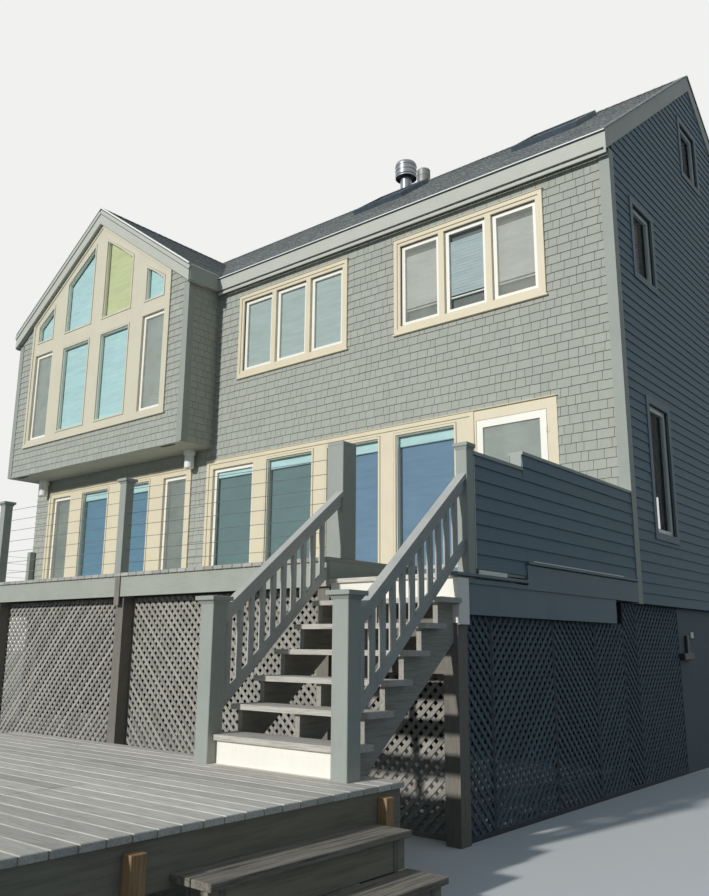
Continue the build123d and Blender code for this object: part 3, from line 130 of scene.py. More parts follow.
@dataclass(frozen=True)
class Finish:
    """A surface: what it is made of, and how light falls on it."""

    name: str
    colour: str
    roughness: float = 0.6

    def material(self) -> bpy.types.Material:
        """Returns the material of this finish, made once."""
        found = bpy.data.materials.get(self.name)
        if found:
            return found
        made = bpy.data.materials.new(self.name)
        made.use_nodes = True
        tree = made.node_tree
        shader = next(n for n in tree.nodes if n.type == "BSDF_PRINCIPLED")
        shader.inputs["Roughness"].default_value = self.roughness
        made.diffuse_color = linear(self.colour)
        self.dress(tree, shader, add_node(tree, "TexCoord").outputs["Object"])
        return made

    def dress(self, tree: Tree, shader: Node, place: Socket) -> None:
        """Sets the plain colour; each kind of finish adds its own pattern on the place it is given."""
        shader.inputs["Base Color"].default_value = linear(self.colour)

    def feed(self, tree: Tree, shader: Node, colour: Socket,
             height: Socket, strength: float, depth: float) -> None:
        """Joins a colour, and a height as relief, to the shader.

        Args:
            tree: the material's tree.
            shader: its surface shader.
            colour: the socket that gives the colour.
            height: the socket that gives the relief.
            strength: how far the relief turns the light.
            depth: its depth in metres.
        """
        tree.links.new(colour, shader.inputs["Base Color"])
        bump = add_node(tree, "Bump", {"Height": height}, {"Strength": strength, "Distance": depth})
        tree.links.new(bump.outputs["Normal"], shader.inputs["Normal"])

    def onto(self, piece: Piece) -> None:
        """Gives the finish to a whole piece."""
        piece.data.materials.clear()
        piece.data.materials.append(self.material())


@dataclass(frozen=True)
class PaintedWood(Finish):
    """Brushed exterior paint over sawn boards: an even colour with faint grain and soft weathering."""

    grain: Grain = Grain.ALONG_X
    weather: float = 0.10
    relief: float = 0.0006

    def dress(self, tree: Tree, shader: Node, place: Socket) -> None:
        """Paint that lets the grain show as relief, drawn 7 mm wide, with patches half a metre wide."""
        run = add_node(tree, "Mapping", {"Vector": place}, {"Scale": self.grain.value}).outputs["Vector"]
        fibres = add_node(tree, "TexNoise", {"Vector": run},
                          {"Scale": 140.0, "Detail": 3.0, "Roughness": 0.65}).outputs["Fac"]
        patches = add_node(tree, "TexNoise", {"Vector": place},
                           {"Scale": 2.2, "Detail": 6.0, "Roughness": 0.6}).outputs["Fac"]
        both = add_node(tree, "Math", {0: patches, 1: fibres}, operation="ADD").outputs[0]
        half = add_node(tree, "Math", {0: both}, {1: 0.5}, operation="MULTIPLY").outputs[0]
        tint = add_node(tree, "ValToRGB", {"Fac": half},
                        stops=[(0.36, shaded(self.colour, 1.0 - 1.6 * self.weather)), (0.5, linear(self.colour)),
                               (0.64, shaded(self.colour, 1.0 + self.weather))])
        self.feed(tree, shader, tint.outputs["Color"], fibres, 0.35, self.relief)


@dataclass(frozen=True)
class WeatheredBoards(Finish):
    """Timber left to the weather: each board its own tone, with long grey and brown fibres."""

    grain: Grain = Grain.ALONG_X
    brown: str = "#7C6C58"
    spread: float = 0.22
    fibre_scale: float = 90.0
    relief: float = 0.0015
    streak: float = 0.22

    def dress(self, tree: Tree, shader: Node, place: Socket) -> None:
        """Fibres 11 to 33 mm apart, drawn coarser than real so that they show, over a tone for each board."""
        tone = add_node(tree, "Attribute", attribute_name="tone").outputs["Fac"]
        run = add_node(tree, "Mapping", {"Vector": place}, {"Scale": self.grain.value}).outputs["Vector"]
        fibres = add_node(tree, "TexNoise", {"Vector": run},
                          {"Scale": self.fibre_scale, "Detail": 5.0, "Roughness": 0.7}).outputs["Fac"]
        stain = add_node(tree, "TexNoise", {"Vector": run},
                         {"Scale": 6.0, "Detail": 4.0, "Roughness": 0.6}).outputs["Fac"]
        tint = add_node(tree, "ValToRGB", {"Fac": fibres},
                        stops=[(0.3, shaded(self.colour, 1.0 - 1.7 * self.streak)), (0.52, linear(self.colour)),
                               (0.72, shaded(self.colour, 1.0 + 0.7 * self.streak))]).outputs["Color"]
        worn = add_node(tree, "Math", {0: stain}, {1: 0.62, 2: 0.35}, operation="SUBTRACT",
                        use_clamp=True).outputs[0]
        browned = add_node(tree, "MixRGB", {"Fac": worn, "Color1": tint}, {"Color2": linear(self.brown)})
        level = add_node(tree, "MapRange", {"Value": tone},
                         {"To Min": 1.0 - self.spread, "To Max": 1.0 + self.spread * 0.6}).outputs["Result"]
        toned = add_node(tree, "MixRGB", {"Color1": browned.outputs["Color"], "Color2": level},
                         {"Fac": 1.0}, blend_type="MULTIPLY")
        self.feed(tree, shader, toned.outputs["Color"], fibres, 0.5, self.relief)


@dataclass(frozen=True)
class AsphaltShingle(Finish):
    """Asphalt sheet with pressed mineral grains: grey, rough and speckled, each tab a little different."""

    pale: str = "#A8AAA6"
    grit: float = 150.0

    def dress(self, tree: Tree, shader: Node, place: Socket) -> None:
        """Grains are 1 to 2 mm across on the real one and are drawn 7 mm and 40 mm wide so that they show."""
        tone = add_node(tree, "Attribute", attribute_name="tone").outputs["Fac"]
        grains = add_node(tree, "TexNoise", {"Vector": place},
                          {"Scale": self.grit, "Detail": 2.0, "Roughness": 0.8}).outputs["Fac"]
        blotch = add_node(tree, "TexNoise", {"Vector": place},
                          {"Scale": 26.0, "Detail": 3.0, "Roughness": 0.75}).outputs["Fac"]
        mixed = add_node(tree, "Math", {0: grains, 1: blotch}, operation="ADD").outputs[0]
        half = add_node(tree, "Math", {0: mixed}, {1: 0.5}, operation="MULTIPLY").outputs[0]
        tint = add_node(tree, "ValToRGB", {"Fac": half},
                        stops=[(0.42, shaded(self.colour, 0.45)), (0.5, linear(self.colour)),
                               (0.57, linear(self.pale))]).outputs["Color"]
        level = add_node(tree, "MapRange", {"Value": tone}, {"To Min": 0.7, "To Max": 1.2}).outputs["Result"]
        toned = add_node(tree, "MixRGB", {"Color1": tint, "Color2": level}, {"Fac": 1.0},
                         blend_type="MULTIPLY")
        self.feed(tree, shader, toned.outputs["Color"], grains, 0.8, 0.003)


@dataclass(frozen=True)
class WindowGlass(Finish):
    """Float glass in a closed window: a faint sheet, its bluish colour partly the glass's own tint and partly a
    painted sky reflection, that shows what hangs behind it.
    """

    cover: float = 0.07

    def dress(self, tree: Tree, shader: Node, place: Socket) -> None:
        """A smooth thin sheet; slow waves of the drawn surface bend its highlights and vary its painted bluish
        haze.
        """
        shader.inputs["Alpha"].default_value = self.cover
        shader.inputs["IOR"].default_value = 1.5
        waves = add_node(tree, "TexNoise", {"Vector": place}, {"Scale": 2.4, "Detail": 1.0}).outputs["Fac"]
        tint = add_node(tree, "ValToRGB", {"Fac": waves},
                        stops=[(0.3, shaded(self.colour, 0.9)), (0.7, shaded(self.colour, 1.08))])
        self.feed(tree, shader, tint.outputs["Color"], waves, 0.15, 0.004)


@dataclass(frozen=True)
class InsectMesh(Finish):
    """Woven fibreglass insect mesh stretched in a frame: a grey veil with dusty patches."""

    cover: float = 0.22

    def dress(self, tree: Tree, shader: Node, place: Socket) -> None:
        """Threads are 1.4 mm apart on the real mesh and are drawn 15 mm apart so that they show."""
        shader.inputs["Alpha"].default_value = self.cover
        across = add_node(tree, "TexWave", {"Vector": place}, {"Scale": 21.0, "Distortion": 0.6},
                          bands_direction="X").outputs["Fac"]
        up = add_node(tree, "TexWave", {"Vector": place}, {"Scale": 21.0, "Distortion": 0.6},
                      bands_direction="Z").outputs["Fac"]
        weave = add_node(tree, "Math", {0: across, 1: up}, operation="MULTIPLY").outputs[0]
        dust = add_node(tree, "TexNoise", {"Vector": place}, {"Scale": 3.5, "Detail": 4.0}).outputs["Fac"]
        both = add_node(tree, "Math", {0: weave, 2: dust}, {1: 0.25}, operation="MULTIPLY_ADD").outputs[0]
        tint = add_node(tree, "ValToRGB", {"Fac": both},
                        stops=[(0.35, shaded(self.colour, 0.8)), (0.75, shaded(self.colour, 1.12))])
        self.feed(tree, shader, tint.outputs["Color"], weave, 0.3, 0.001)


@dataclass(frozen=True)
class SheetMetal(Finish):
    """Rolled or drawn metal: bright, with fine scratches along one way and dull patches."""

    metallic: float = 1.0
    grain: Grain = Grain.ALONG_Z
    patch: float = 0.12

    def dress(self, tree: Tree, shader: Node, place: Socket) -> None:
        """Scratches under a millimetre apart, drawn 3 mm apart, over dull patches a hand wide."""
        shader.inputs["Metallic"].default_value = self.metallic
        run = add_node(tree, "Mapping", {"Vector": place}, {"Scale": self.grain.value}).outputs["Vector"]
        lines = add_node(tree, "TexNoise", {"Vector": run}, {"Scale": 300.0, "Detail": 2.0}).outputs["Fac"]
        dull = add_node(tree, "TexNoise", {"Vector": place}, {"Scale": 8.0, "Detail": 4.0}).outputs["Fac"]
        tint = add_node(tree, "ValToRGB", {"Fac": dull},
                        stops=[(0.35, shaded(self.colour, 1.0 - 2.0 * self.patch)), (0.65, linear(self.colour))])
        rough = add_node(tree, "MapRange", {"Value": dull},
                         {"To Min": self.roughness + 0.12, "To Max": max(self.roughness - 0.08, 0.05)})
        tree.links.new(rough.outputs["Result"], shader.inputs["Roughness"])
        self.feed(tree, shader, tint.outputs["Color"], lines, 0.2, 0.0005)


@dataclass(frozen=True)
class BlindPaint(Finish):
    """Baked enamel on thin slats and stiff boards, some of them blinds, some painted as shade and reflection
    behind the glass: an even satin colour, a little dusty.
    """

    def dress(self, tree: Tree, shader: Node, place: Socket) -> None:
        """Dust lies in soft level bands, about 60 mm apart."""
        run = add_node(tree, "Mapping", {"Vector": place}, {"Scale": (0.15, 1.0, 1.0)}).outputs["Vector"]
        dust = add_node(tree, "TexNoise", {"Vector": run}, {"Scale": 16.0, "Detail": 4.0}).outputs["Fac"]
        tint = add_node(tree, "ValToRGB", {"Fac": dust},
                        stops=[(0.3, shaded(self.colour, 0.88)), (0.7, shaded(self.colour, 1.05))])
        self.feed(tree, shader, tint.outputs["Color"], dust, 0.2, 0.001)


@dataclass(frozen=True)
class MouldedPlastic(Finish):
    """Injection-moulded plastic with a fine pebbled skin, slightly chalked by the sun."""

    def dress(self, tree: Tree, shader: Node, place: Socket) -> None:
        """A pebble of about 3 mm and chalky patches."""
        pebble = add_node(tree, "TexNoise", {"Vector": place}, {"Scale": 320.0, "Detail": 2.0}).outputs["Fac"]
        chalk = add_node(tree, "TexNoise", {"Vector": place}, {"Scale": 12.0, "Detail": 5.0}).outputs["Fac"]
        tint = add_node(tree, "ValToRGB", {"Fac": chalk},
                        stops=[(0.3, shaded(self.colour, 0.93)), (0.7, linear(self.colour))])
        self.feed(tree, shader, tint.outputs["Color"], pebble, 0.25, 0.0006)


class Surfaces:
    """The finishes of this house, each named for what it is and how it was made."""

    # Stained cedar and painted clapboards: matt, each piece a shade of its own.
    shingle = WeatheredBoards("cedar_shingle_grey_stain", "#ABADA1", 0.85, Grain.ALONG_Z,
                              "#A2A497", 0.07, 70.0, 0.0006, 0.06)
    # The gable and screen clapboards stand in shade; their grey paint is darkened and blued here, which is painted
    # shade.
    shade_darkened_clapboard = WeatheredBoards("clapboard_grey_paint_darkened_for_shade", "#5F757E", 0.7, Grain.ALONG_Y,
                                "#596E77", 0.05, 60.0, 0.0004, 0.05)
    back_clapboard = WeatheredBoards("clapboard_grey_paint_back", "#86939B", 0.7, Grain.ALONG_X,
                                     "#7E8A91", 0.05, 60.0, 0.0004, 0.05)
    # Brushed exterior paint on sawn boards: low sheen, the grain just to be felt.
    grey_paint = PaintedWood("grey_paint_upright_boards", "#A6ABA2", 0.62, Grain.ALONG_Z, 0.05)
    grey_corner = PaintedWood("grey_paint_corner_boards", "#989D93", 0.62, Grain.ALONG_Z, 0.05)
    grey_post = PaintedWood("grey_paint_posts", "#9BA097", 0.6, Grain.ALONG_Z, 0.06)
    grey_level = PaintedWood("grey_paint_level_boards", "#BDBEB1", 0.62, Grain.ALONG_X, 0.05)
    grey_deck = PaintedWood("grey_paint_deck_boards", "#A6A99C", 0.62, Grain.ALONG_X, 0.07)
    grey_eave = PaintedWood("grey_paint_eave_boards", "#A6ABA2", 0.62, Grain.ALONG_Y, 0.05)
    # The landing's ledges face the shaded side; their grey is darkened here as painted shade.
    grey_ledge_shaded = PaintedWood("grey_paint_ledge_boards_darkened_for_shade", "#6B7B80", 0.62, Grain.ALONG_Y, 0.06)
    base_grey = PaintedWood("grey_paint_base_walls", "#4A5960", 0.75, Grain.NONE, 0.08)
    # A darker copy of the grey paint for the rim and gable window frames on the shaded side: painted shade.
    grey_shade_side = PaintedWood("grey_paint_side_boards_darkened_for_shade", "#64777E", 0.62, Grain.ALONG_Y, 0.06)
    balustrade = PaintedWood("grey_stain_balustrade", "#B4B4AD", 0.75, Grain.NONE, 0.16)
    cream = PaintedWood("cream_paint_window_frames", "#DFD3B5", 0.5, Grain.ALONG_Z, 0.04)
    cream_bay = PaintedWood("cream_paint_bay_frame", "#D3CCB4", 0.5, Grain.ALONG_Z, 0.04)
    white = PaintedWood("white_paint_sashes", "#F4F0E3", 0.45, Grain.ALONG_Z, 0.03)
    # Painted shadow lines and dark strips, felt that also serves as painted shade in the gaps, and asphalt: no
    # sheen.
    # Thin dark rings round the lights: painted shadow lines.
    shadow_line_paint = MouldedPlastic("dark_ring_as_painted_shadow", "#6E675A", 0.7)
    # Dark strips round the side lattice's panels: painted shade of the gaps between them.
    lattice_gap_shade = PaintedWood("lattice_strips_painted_shade", "#2C363C", 0.85, Grain.ALONG_Z, 0.1)
    # Dark felt behind the cladding, made dark also as painted shade in the gaps, inside the rooms, in the vent
    # slots and in the roof's shadow lines.
    felt_and_painted_shade = PaintedWood("bitumen_felt_painted_as_gap_shade", "#2B2F31", 0.9, Grain.NONE, 0.1)
    roofing = AsphaltShingle("asphalt_shingle_tabs", "#6E7475", 0.92)
    # Bare timber greyed by the weather: dry, streaked along its fibres.
    deck_along_y = WeatheredBoards("deck_boards_front_to_back", "#B3B0A8", 0.8, Grain.ALONG_Y)
    deck_along_x = WeatheredBoards("deck_boards_side_to_side", "#D6D0C4", 0.8, Grain.ALONG_X)
    step_boards = WeatheredBoards("worn_step_boards", "#868074", 0.85, Grain.ALONG_Y,
                                  "#62594B", 0.2, 40.0, 0.004, 0.5)
    timber_up = WeatheredBoards("bare_timber_upright", "#8D877C", 0.85, Grain.ALONG_Z, "#6F5F4C")
    timber_level = WeatheredBoards("bare_timber_level", "#8F887C", 0.85, Grain.ALONG_X, "#6F5F4C")
    timber_side = WeatheredBoards("bare_timber_skirt", "#98917F", 0.85, Grain.ALONG_Y,
                                  "#877A66", 0.2, 30.0, 0.001, 0.2)
    stub = WeatheredBoards("split_post_stub", "#B08E66", 0.85, Grain.ALONG_Z, "#8A6845", 0.2, 60.0, 0.002, 0.3)
    stringer = WeatheredBoards("bare_timber_stair", "#B3AEA2", 0.85, Grain.ALONG_Y,
                               "#7E7464", 0.2, 60.0, 0.001, 0.2)
    lattice = WeatheredBoards("stained_lath_front", "#A29E93", 0.85, Grain.NONE, "#857A69", 0.25)
    # The same laths as the front, darkened here as painted shade for the side in shadow.
    shaded_lattice_side = WeatheredBoards("stained_lath_darkened_for_shade", "#55646C", 0.85, Grain.NONE, "#4C585C", 0.2)
    # Glass, mesh and metal: the parts that shine, and the veil that dulls them.
    glass = WindowGlass("float_glass_painted_sky_haze", "#7C8F96", 0.04)
    mesh = InsectMesh("woven_insect_mesh", "#BDC0B1", 0.9)
    steel = SheetMetal("drawn_steel_cable", "#8E9294", 0.4)
    flue = SheetMetal("rolled_galvanised_flue", "#94979A", 0.34, 0.65, patch=0.08)
    vent = SheetMetal("dull_galvanised_vent", "#8A8C86", 0.5, 0.4, patch=0.08)
    bronze = SheetMetal("painted_aluminium_curb", "#5D6A75", 0.5, 0.2)
    drip = SheetMetal("white_painted_drip_edge", "#F2F1EC", 0.4, 0.0, patch=0.02)
    # Moulded plastic, and the baked enamel of the blinds and of the boards painted as room shade and sky
    # reflection: even and satin.
    lamp = MouldedPlastic("moulded_lamp_housing", "#F6F5EF", 0.4)
    black = MouldedPlastic("black_painted_bracket", "#24272A", 0.5)
    blind_aqua = BlindPaint("enamelled_slats_aqua", "#C3E8E4", 0.6)
    blind_pale = BlindPaint("enamelled_slats_pale", "#B2C1BE", 0.6)
    blind_white = BlindPaint("stiff_blind_bone_white", "#F4F3EA", 0.6)
    blind_green = BlindPaint("stiff_blind_grey_green", "#B5C4BC", 0.7)
    blind_lime = BlindPaint("stiff_blind_lime", "#D9DFA4", 0.7)
    # A slate board behind the glass, no blind: painted shade of the room with a painted reflection.
    slate_room_shade = BlindPaint("painted_shade_of_room_slate", "#6C7068", 0.7)
    # Boards behind the main floor's glass: painted shade of the dark rooms, and painted reflection of the sky in
    # blue and teal.
    green_room_shade = BlindPaint("painted_shade_of_room_green", "#64807C", 0.7)
    blue_sky_reflection = BlindPaint("painted_reflection_of_sky_blue", "#6A8BA2", 0.7)
    teal_sky_reflection = BlindPaint("painted_reflection_of_sky_teal", "#5E8AA0", 0.7)
    planks = WeatheredBoards("oiled_floor_planks", "#A58A66", 0.6, Grain.ALONG_X, "#8A6C48")


@dataclass(frozen=True)
class Datum:
    """The house's own zero point in the row frame: right gable face, front wall face and deck top."""

    x: float
    y: float
    z: float

    @classmethod
    def from_frame(cls) -> "Datum":
        """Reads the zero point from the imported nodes."""
        return cls(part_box("gable_walls")[1].x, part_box("front_wall_upper")[0].y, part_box("deck_surface")[1].z)

    def at(self, x: float, y: float, z: float) -> Vector:
        """A place given in the house's own measures."""
        return Vector((self.x + x, self.y + y, self.z + z))


DATUM = Datum.from_frame()


@dataclass(frozen=True)
class Shell:
    """Sizes of the house's shell that several sub-assemblies share, in metres from its zero point."""

    length: float = 12.98
    depth: float = 7.36
    wall_low: float = -0.29
    pitch: float = 0.785
    roof_edge: float = 5.79
    roof_depth: float = 0.28
    eave_out: float = 0.12
    bay_width: float = 5.58
    bay_reach: float = 0.70
    bay_pitch: float = 0.71
    bay_eave: float = 5.819
    bay_depth: float = 0.33
    bay_low: float = 2.58
    bay_roof_out: float = 0.11
    corner: float = 0.115
    unit_sill: float = 0.19
    unit_head: float = 2.215
    casing: float = 0.11
    jamb: float = 0.157
    door_left: float = -2.07
    triples: tuple[float, float] = (-5.565, -2.165)
    bay_sill: float = 3.17
    platform: float = -1.621
    ground: float = -DATUM.z

    @property
    def left(self) -> float:
        """X of the left gable's outer face."""
        return -self.length

    @property
    def bay_right(self) -> float:
        """X of the bay's right side."""
        return self.left + self.bay_width

    @property
    def bay_middle(self) -> float:
        """X of the bay's middle."""
        return self.left + self.bay_width / 2

    @property
    def bay_frame(self) -> float:
        """Half the width of the bay's window frame."""
        return self.bay_width / 2 - 0.49

    @property
    def bay_tip(self) -> float:
        """Half the width of the bay's roof, out to its side eaves."""
        return self.bay_width / 2 + 0.09

    @property
    def bay_ridge(self) -> float:
        """Height of the bay's ridge."""
        return self.bay_top(self.bay_middle)

    @property
    def bay_roof_front(self) -> float:
        """Y of the front edge of the bay's roof."""
        return -self.bay_reach - self.bay_roof_out

    @property
    def room_left(self) -> float:
        """X where the main floor's window frame starts, beside the bay."""
        return self.bay_right - 0.025

    @property
    def ridge(self) -> float:
        """Height of the main ridge."""
        return self.roof_edge + self.pitch * self.depth / 2

    def bay_top(self, x: float) -> float:
        """Height of the bay roof's top face."""
        return self.bay_eave + self.bay_pitch * (self.bay_width / 2 - abs(x - self.bay_middle))

    @property
    def columns(self) -> list[tuple[float, float]]:
        """The four columns of lights in the bay, and in the room under it."""
        half = self.bay_frame
        shares = ((-0.7935, 0.2217), (-0.2804, 0.3783), (0.2804, 0.3783), (0.7935, 0.2217))
        return [(self.bay_middle + (o - w / 2) * half, self.bay_middle + (o + w / 2) * half) for o, w in shares]


SHELL = Shell()
# The row frame's own directions, singly and as the axes of a copy that isn't turned.
X, Y, Z = Vector((1, 0, 0)), Vector((0, 1, 0)), Vector((0, 0, 1))
UPRIGHT = Matrix.Identity(3)


def deselect() -> None:
    """Leaves edit mode and clears the selection."""
    if bpy.context.object and bpy.context.object.mode != "OBJECT":
        bpy.ops.object.mode_set(mode="OBJECT")
    bpy.ops.object.select_all(action="DESELECT")


def make_active(piece: Piece) -> None:
    """Selects one piece alone and makes it active."""
    deselect()
    piece.select_set(True)
    bpy.context.view_layer.objects.active = piece


def settle(piece: Piece) -> None:
    """Moves a piece's place into its mesh, so that its object sits at the origin."""
    make_active(piece)
    bpy.ops.object.transform_apply(location=True, rotation=True, scale=True)


def block(name: str, low: Vector, high: Vector) -> Piece:
    """Starts a piece from a box between two corners."""
    deselect()
    size = high - low
    bpy.ops.mesh.primitive_cube_add(size=1.0, location=(low + high) / 2, scale=size)
    piece = bpy.context.object
    piece.name = name
    settle(piece)
    return piece


def pick(piece: Piece, kind: Pick, chosen: Callable[[Vector, Vector], bool]) -> None:
    """Opens a piece for editing with some of its elements selected.

    Args:
        piece: the piece to edit.
        kind: vertices, edges or faces.
        chosen: a test on an element's middle and its normal, or an edge's direction.
    """
    make_active(piece)
    mesh = piece.data
    bpy.ops.object.mode_set(mode="EDIT")
    bpy.ops.mesh.select_mode(type=kind.value)
    bpy.ops.mesh.select_all(action="DESELECT")
    bpy.ops.object.mode_set(mode="OBJECT")
    if kind is Pick.VERTS:
        for vertex in mesh.vertices:
            vertex.select = chosen(vertex.co, vertex.normal)
    elif kind is Pick.EDGES:
        for edge in mesh.edges:
            a, b = (mesh.vertices[i].co for i in edge.vertices)
            edge.select = chosen((a + b) / 2, (b - a).normalized())
    else:
        for polygon in mesh.polygons:
            polygon.select = chosen(polygon.center, polygon.normal)
    bpy.ops.object.mode_set(mode="EDIT")


def close_edit() -> None:
    """Leaves edit mode."""
    bpy.ops.object.mode_set(mode="OBJECT")


def round_edges(piece: Piece, width: float, segments: int = 1,
                chosen: Callable[[Vector, Vector], bool] = lambda middle, way: True) -> None:
    """Bevels the chosen edges of a piece."""
    pick(piece, Pick.EDGES, chosen)
    bpy.ops.mesh.bevel(offset=width, segments=segments, affect="EDGES")
    close_edit()


def finish_piece(piece: Piece, surface: Finish, slot: str, *replaced: str,
                 body: str = BODY) -> Piece:
    """Dresses a piece and ties it to the house or to its door.

    Args:
        piece: the finished piece.
        surface: its finish.
        slot: the record's material slot it belongs to; not used.
        replaced: frame nodes that it stands for.
        body: the body that it moves with.

    Returns:
        The same piece.
    """
    deselect()
    surface.onto(piece)
    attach(piece, body)
    if replaced:
        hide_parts(*replaced)
    return piece


def laid(name: str, rounding: float, boxes: Sequence[tuple[float, float, float, float, float, float]],
         surface: Finish, slot: str, body: str = BODY) -> Piece:
    """Lays eased boards given by their spans along X, Y and Z in the house's measures.

    Args:
        name: the piece's name.
        rounding: how far the boards' edges are eased.
        boxes: x0, x1, y0, y1, z0 and z1 of each board.
        surface: their finish.
        slot: the record's material slot.
        body: the body that they move with.

    Returns:
        The boards as one object.
    """
    starts = [DATUM.at(b[0], b[2], b[4])[:] for b in boxes]
    sizes = [(b[1] - b[0], b[3] - b[2], b[5] - b[4]) for b in boxes]
    tones = [0.35 + 0.3 * (index % 2) for index in range(len(boxes))]
    made = plank_stamp(rounding).copies(name, starts, sizes, UPRIGHT, tones)
    return finish_piece(made, surface, slot, body=body)


def joined(name: str, pieces: Sequence[Piece]) -> Piece:
    """Joins several pieces of one kind into one object."""
    deselect()
    for piece in pieces:
        piece.select_set(True)
    bpy.context.view_layer.objects.active = pieces[0]
    if len(pieces) > 1:
        bpy.ops.object.join()
    pieces[0].name = name
    return pieces[0]


def piece_from(name: str, places: Sequence, edges: Sequence, faces: Sequence) -> Piece:
    """Makes a piece from places and the edges or faces between them."""
    mesh = bpy.data.meshes.new(name)
    mesh.from_pydata(places, edges, faces)
    piece = bpy.data.objects.new(name, mesh)
    bpy.context.scene.collection.objects.link(piece)
    return piece


def toned_piece(name: str, places: Sequence, faces: Sequence, tones: Sequence[float]) -> Piece:
    """Makes a piece whose points carry a tone, which its finish turns to a shade."""
    piece = piece_from(name, places, [], faces)
    piece.data.attributes.new("tone", "FLOAT", "POINT").data.foreach_set("value", tones)
    return piece


@dataclass
class Stamp:
    """A small shape modelled once in a metre box and copied at any size, its edges kept as modelled."""

    high: np.ndarray
    inset: np.ndarray
    faces: list[tuple[int, ...]]

    @classmethod
    def taken_from(cls, model: Piece) -> "Stamp":
        """Reads the modelled shape and clears it away."""
        places = np.array([v.co[:] for v in model.data.vertices])
        faces = [tuple(p.vertices) for p in model.data.polygons]
        deselect()
        bpy.data.objects.remove(model, do_unlink=True)
        high = places > 0.5
        return cls(high, np.where(high, 1.0 - places, places), faces)

    def copies(self, name: str, starts: Sequence[Sequence[float]], sizes: Sequence[Sequence[float]],
               axes: Sequence[Matrix] | Matrix, tones: Sequence[float]) -> Piece:
        """Lays copies of the shape, each with its own place, size and tone.

        Args:
            name: the name of the piece.
            starts: low corner of each copy, in the row frame.
            sizes: size of each copy along its own three axes.
            axes: one matrix whose rows are the copies' axes, or one matrix for each copy.
            tones: a number from 0 to 1 for each copy.

        Returns:
            One object that holds all copies.
        """
        sizes_in = np.asarray(sizes, dtype=float)[:, None, :]
        local = np.where(self.high[None], sizes_in - self.inset[None], self.inset[None])
        ways = np.asarray(axes, dtype=float)
        turned = local @ ways if ways.ndim == 2 else np.einsum("nij,njk->nik", local, ways)
        places = (turned + np.asarray(starts, dtype=float)[:, None, :]).reshape(-1, 3)
        corners = len(self.high)
        faces = [tuple(corner + corners * copy for corner in face) for copy in range(len(sizes))
                 for face in self.faces]
        return toned_piece(name, places.tolist(), faces, np.repeat(np.asarray(tones, dtype=np.float32), corners))


def unit_model() -> Piece:
    """A block one metre on each side, the start of every stamp."""
    return block("stamp_model", Vector((0, 0, 0)), Vector((1, 1, 1)))


def wedge_stamp(tip: float) -> Stamp:
    """A board that thins towards its upper edge; its third axis points out of the wall."""
    model = unit_model()
    pick(model, Pick.VERTS, lambda place, normal: place.y > 0.5 and place.z > 0.5)
    bpy.ops.transform.translate(value=(0.0, 0.0, tip - 1.0))
    close_edit()
    return Stamp.taken_from(model)


def plank_stamp(rounding: float) -> Stamp:
    """A board with all its edges eased."""
    model = unit_model()
    round_edges(model, rounding)
    return Stamp.taken_from(model)


@dataclass
class Face:
    """A flat face to be covered. u runs along it, v up it and w out of it."""

    start: Vector
    u: Vector
    v: Vector
    w: Vector
    length: float
    height: float
    holes: list[Rect] = field(default_factory=list)
    shut: Callable[[float], list[tuple[float, float]]] | None = None

    @property
    def axes(self) -> Matrix:
        """The three directions as rows."""
        return Matrix((self.u, self.v, self.w))

    def place(self, u: float, v: float, w: float = 0.0) -> Vector:
        """A place on the face in the row frame."""
        return self.start + self.u * u + self.v * v + self.w * w

    def cells(self, v0: float, v1: float, shown: float) -> Iterator[Rect]:
        """Splits a course by the holes that it meets.

        Args:
            v0: the course's lower edge.
            v1: its upper edge, hidden under the next course.
            shown: the height that stays visible.

        Yields:
            Rectangles (u0, u1, v0, v1) of the course outside every hole.
        """
        met = [h for h in self.holes if h[2] < v1 and h[3] > v0]
        if self.shut:
            met += [(a, b, v0 - 1.0, v1 + 1.0) for a, b in self.shut(v0)]
        edges = sorted({0.0, self.length, *(min(max(e, 0.0), self.length) for h in met for e in h[:2])})
        for u0, u1 in zip(edges, edges[1:]):
            low, high = v0, v1
            for h in met:
                if h[0] < (u0 + u1) / 2 < h[1]:
                    if h[2] <= v0 + 0.01 and h[3] >= v0 + shown:
                        low = high
                    elif h[2] > v0:
                        high = min(high, h[2])
                    else:
                        low = max(low, h[3])
            if high - low > 0.012 and u1 - u0 > 0.012:
                yield u0, u1, low, high


@dataclass
class CourseWork:
    """Courses of overlapping pieces over a face."""

    pitch: float
    lap: float
    thick: float
    tip: float
    widths: tuple[float, float]
    gap: float
    uneven: float = 0.0
    steady: bool = False

    def cover(self, name: str, face: Face, seed: int) -> Piece:
        """Covers a face with courses.

        Args:
            name: the name of the piece.
            face: the face to cover.
            seed: start of the random widths and tones.

        Returns:
            The laid courses as one object.
        """
        draw = random.Random(seed)
        stamp = wedge_stamp(self.tip)
        starts, sizes, tones = [], [], []
        course, v0 = 0, 0.0
        while v0 < face.height - 0.02:
            v1 = min(v0 + self.pitch + self.lap, face.height)
            for u0, u1, low, high in face.cells(v0, v1, self.pitch):
                u = u0
                if self.steady:
                    u = u0 - (draw.random() * 0.02 + (course % 2) * self.widths[0] / 2)
                while u < u1 - 0.004:
                    width = draw.uniform(*self.widths)
                    if u1 - (u + width) < self.widths[0] * 0.4:
                        width = u1 - u
                    left, right = max(u, u0), min(u + width, u1)
                    drop = draw.uniform(-self.uneven, self.uneven) if low == v0 else 0.0
                    if right - left > self.gap * 2:
                        starts.append(face.place(left + self.gap / 2, low + drop)[:])
                        sizes.append((right - left - self.gap, high - low - drop, self.thick))
                        tones.append(min(max(draw.gauss(0.5, 0.2), 0.0), 1.0))
                    u += width
            v0 += self.pitch
            course += 1
        return stamp.copies(name, starts, sizes, face.axes, tones)


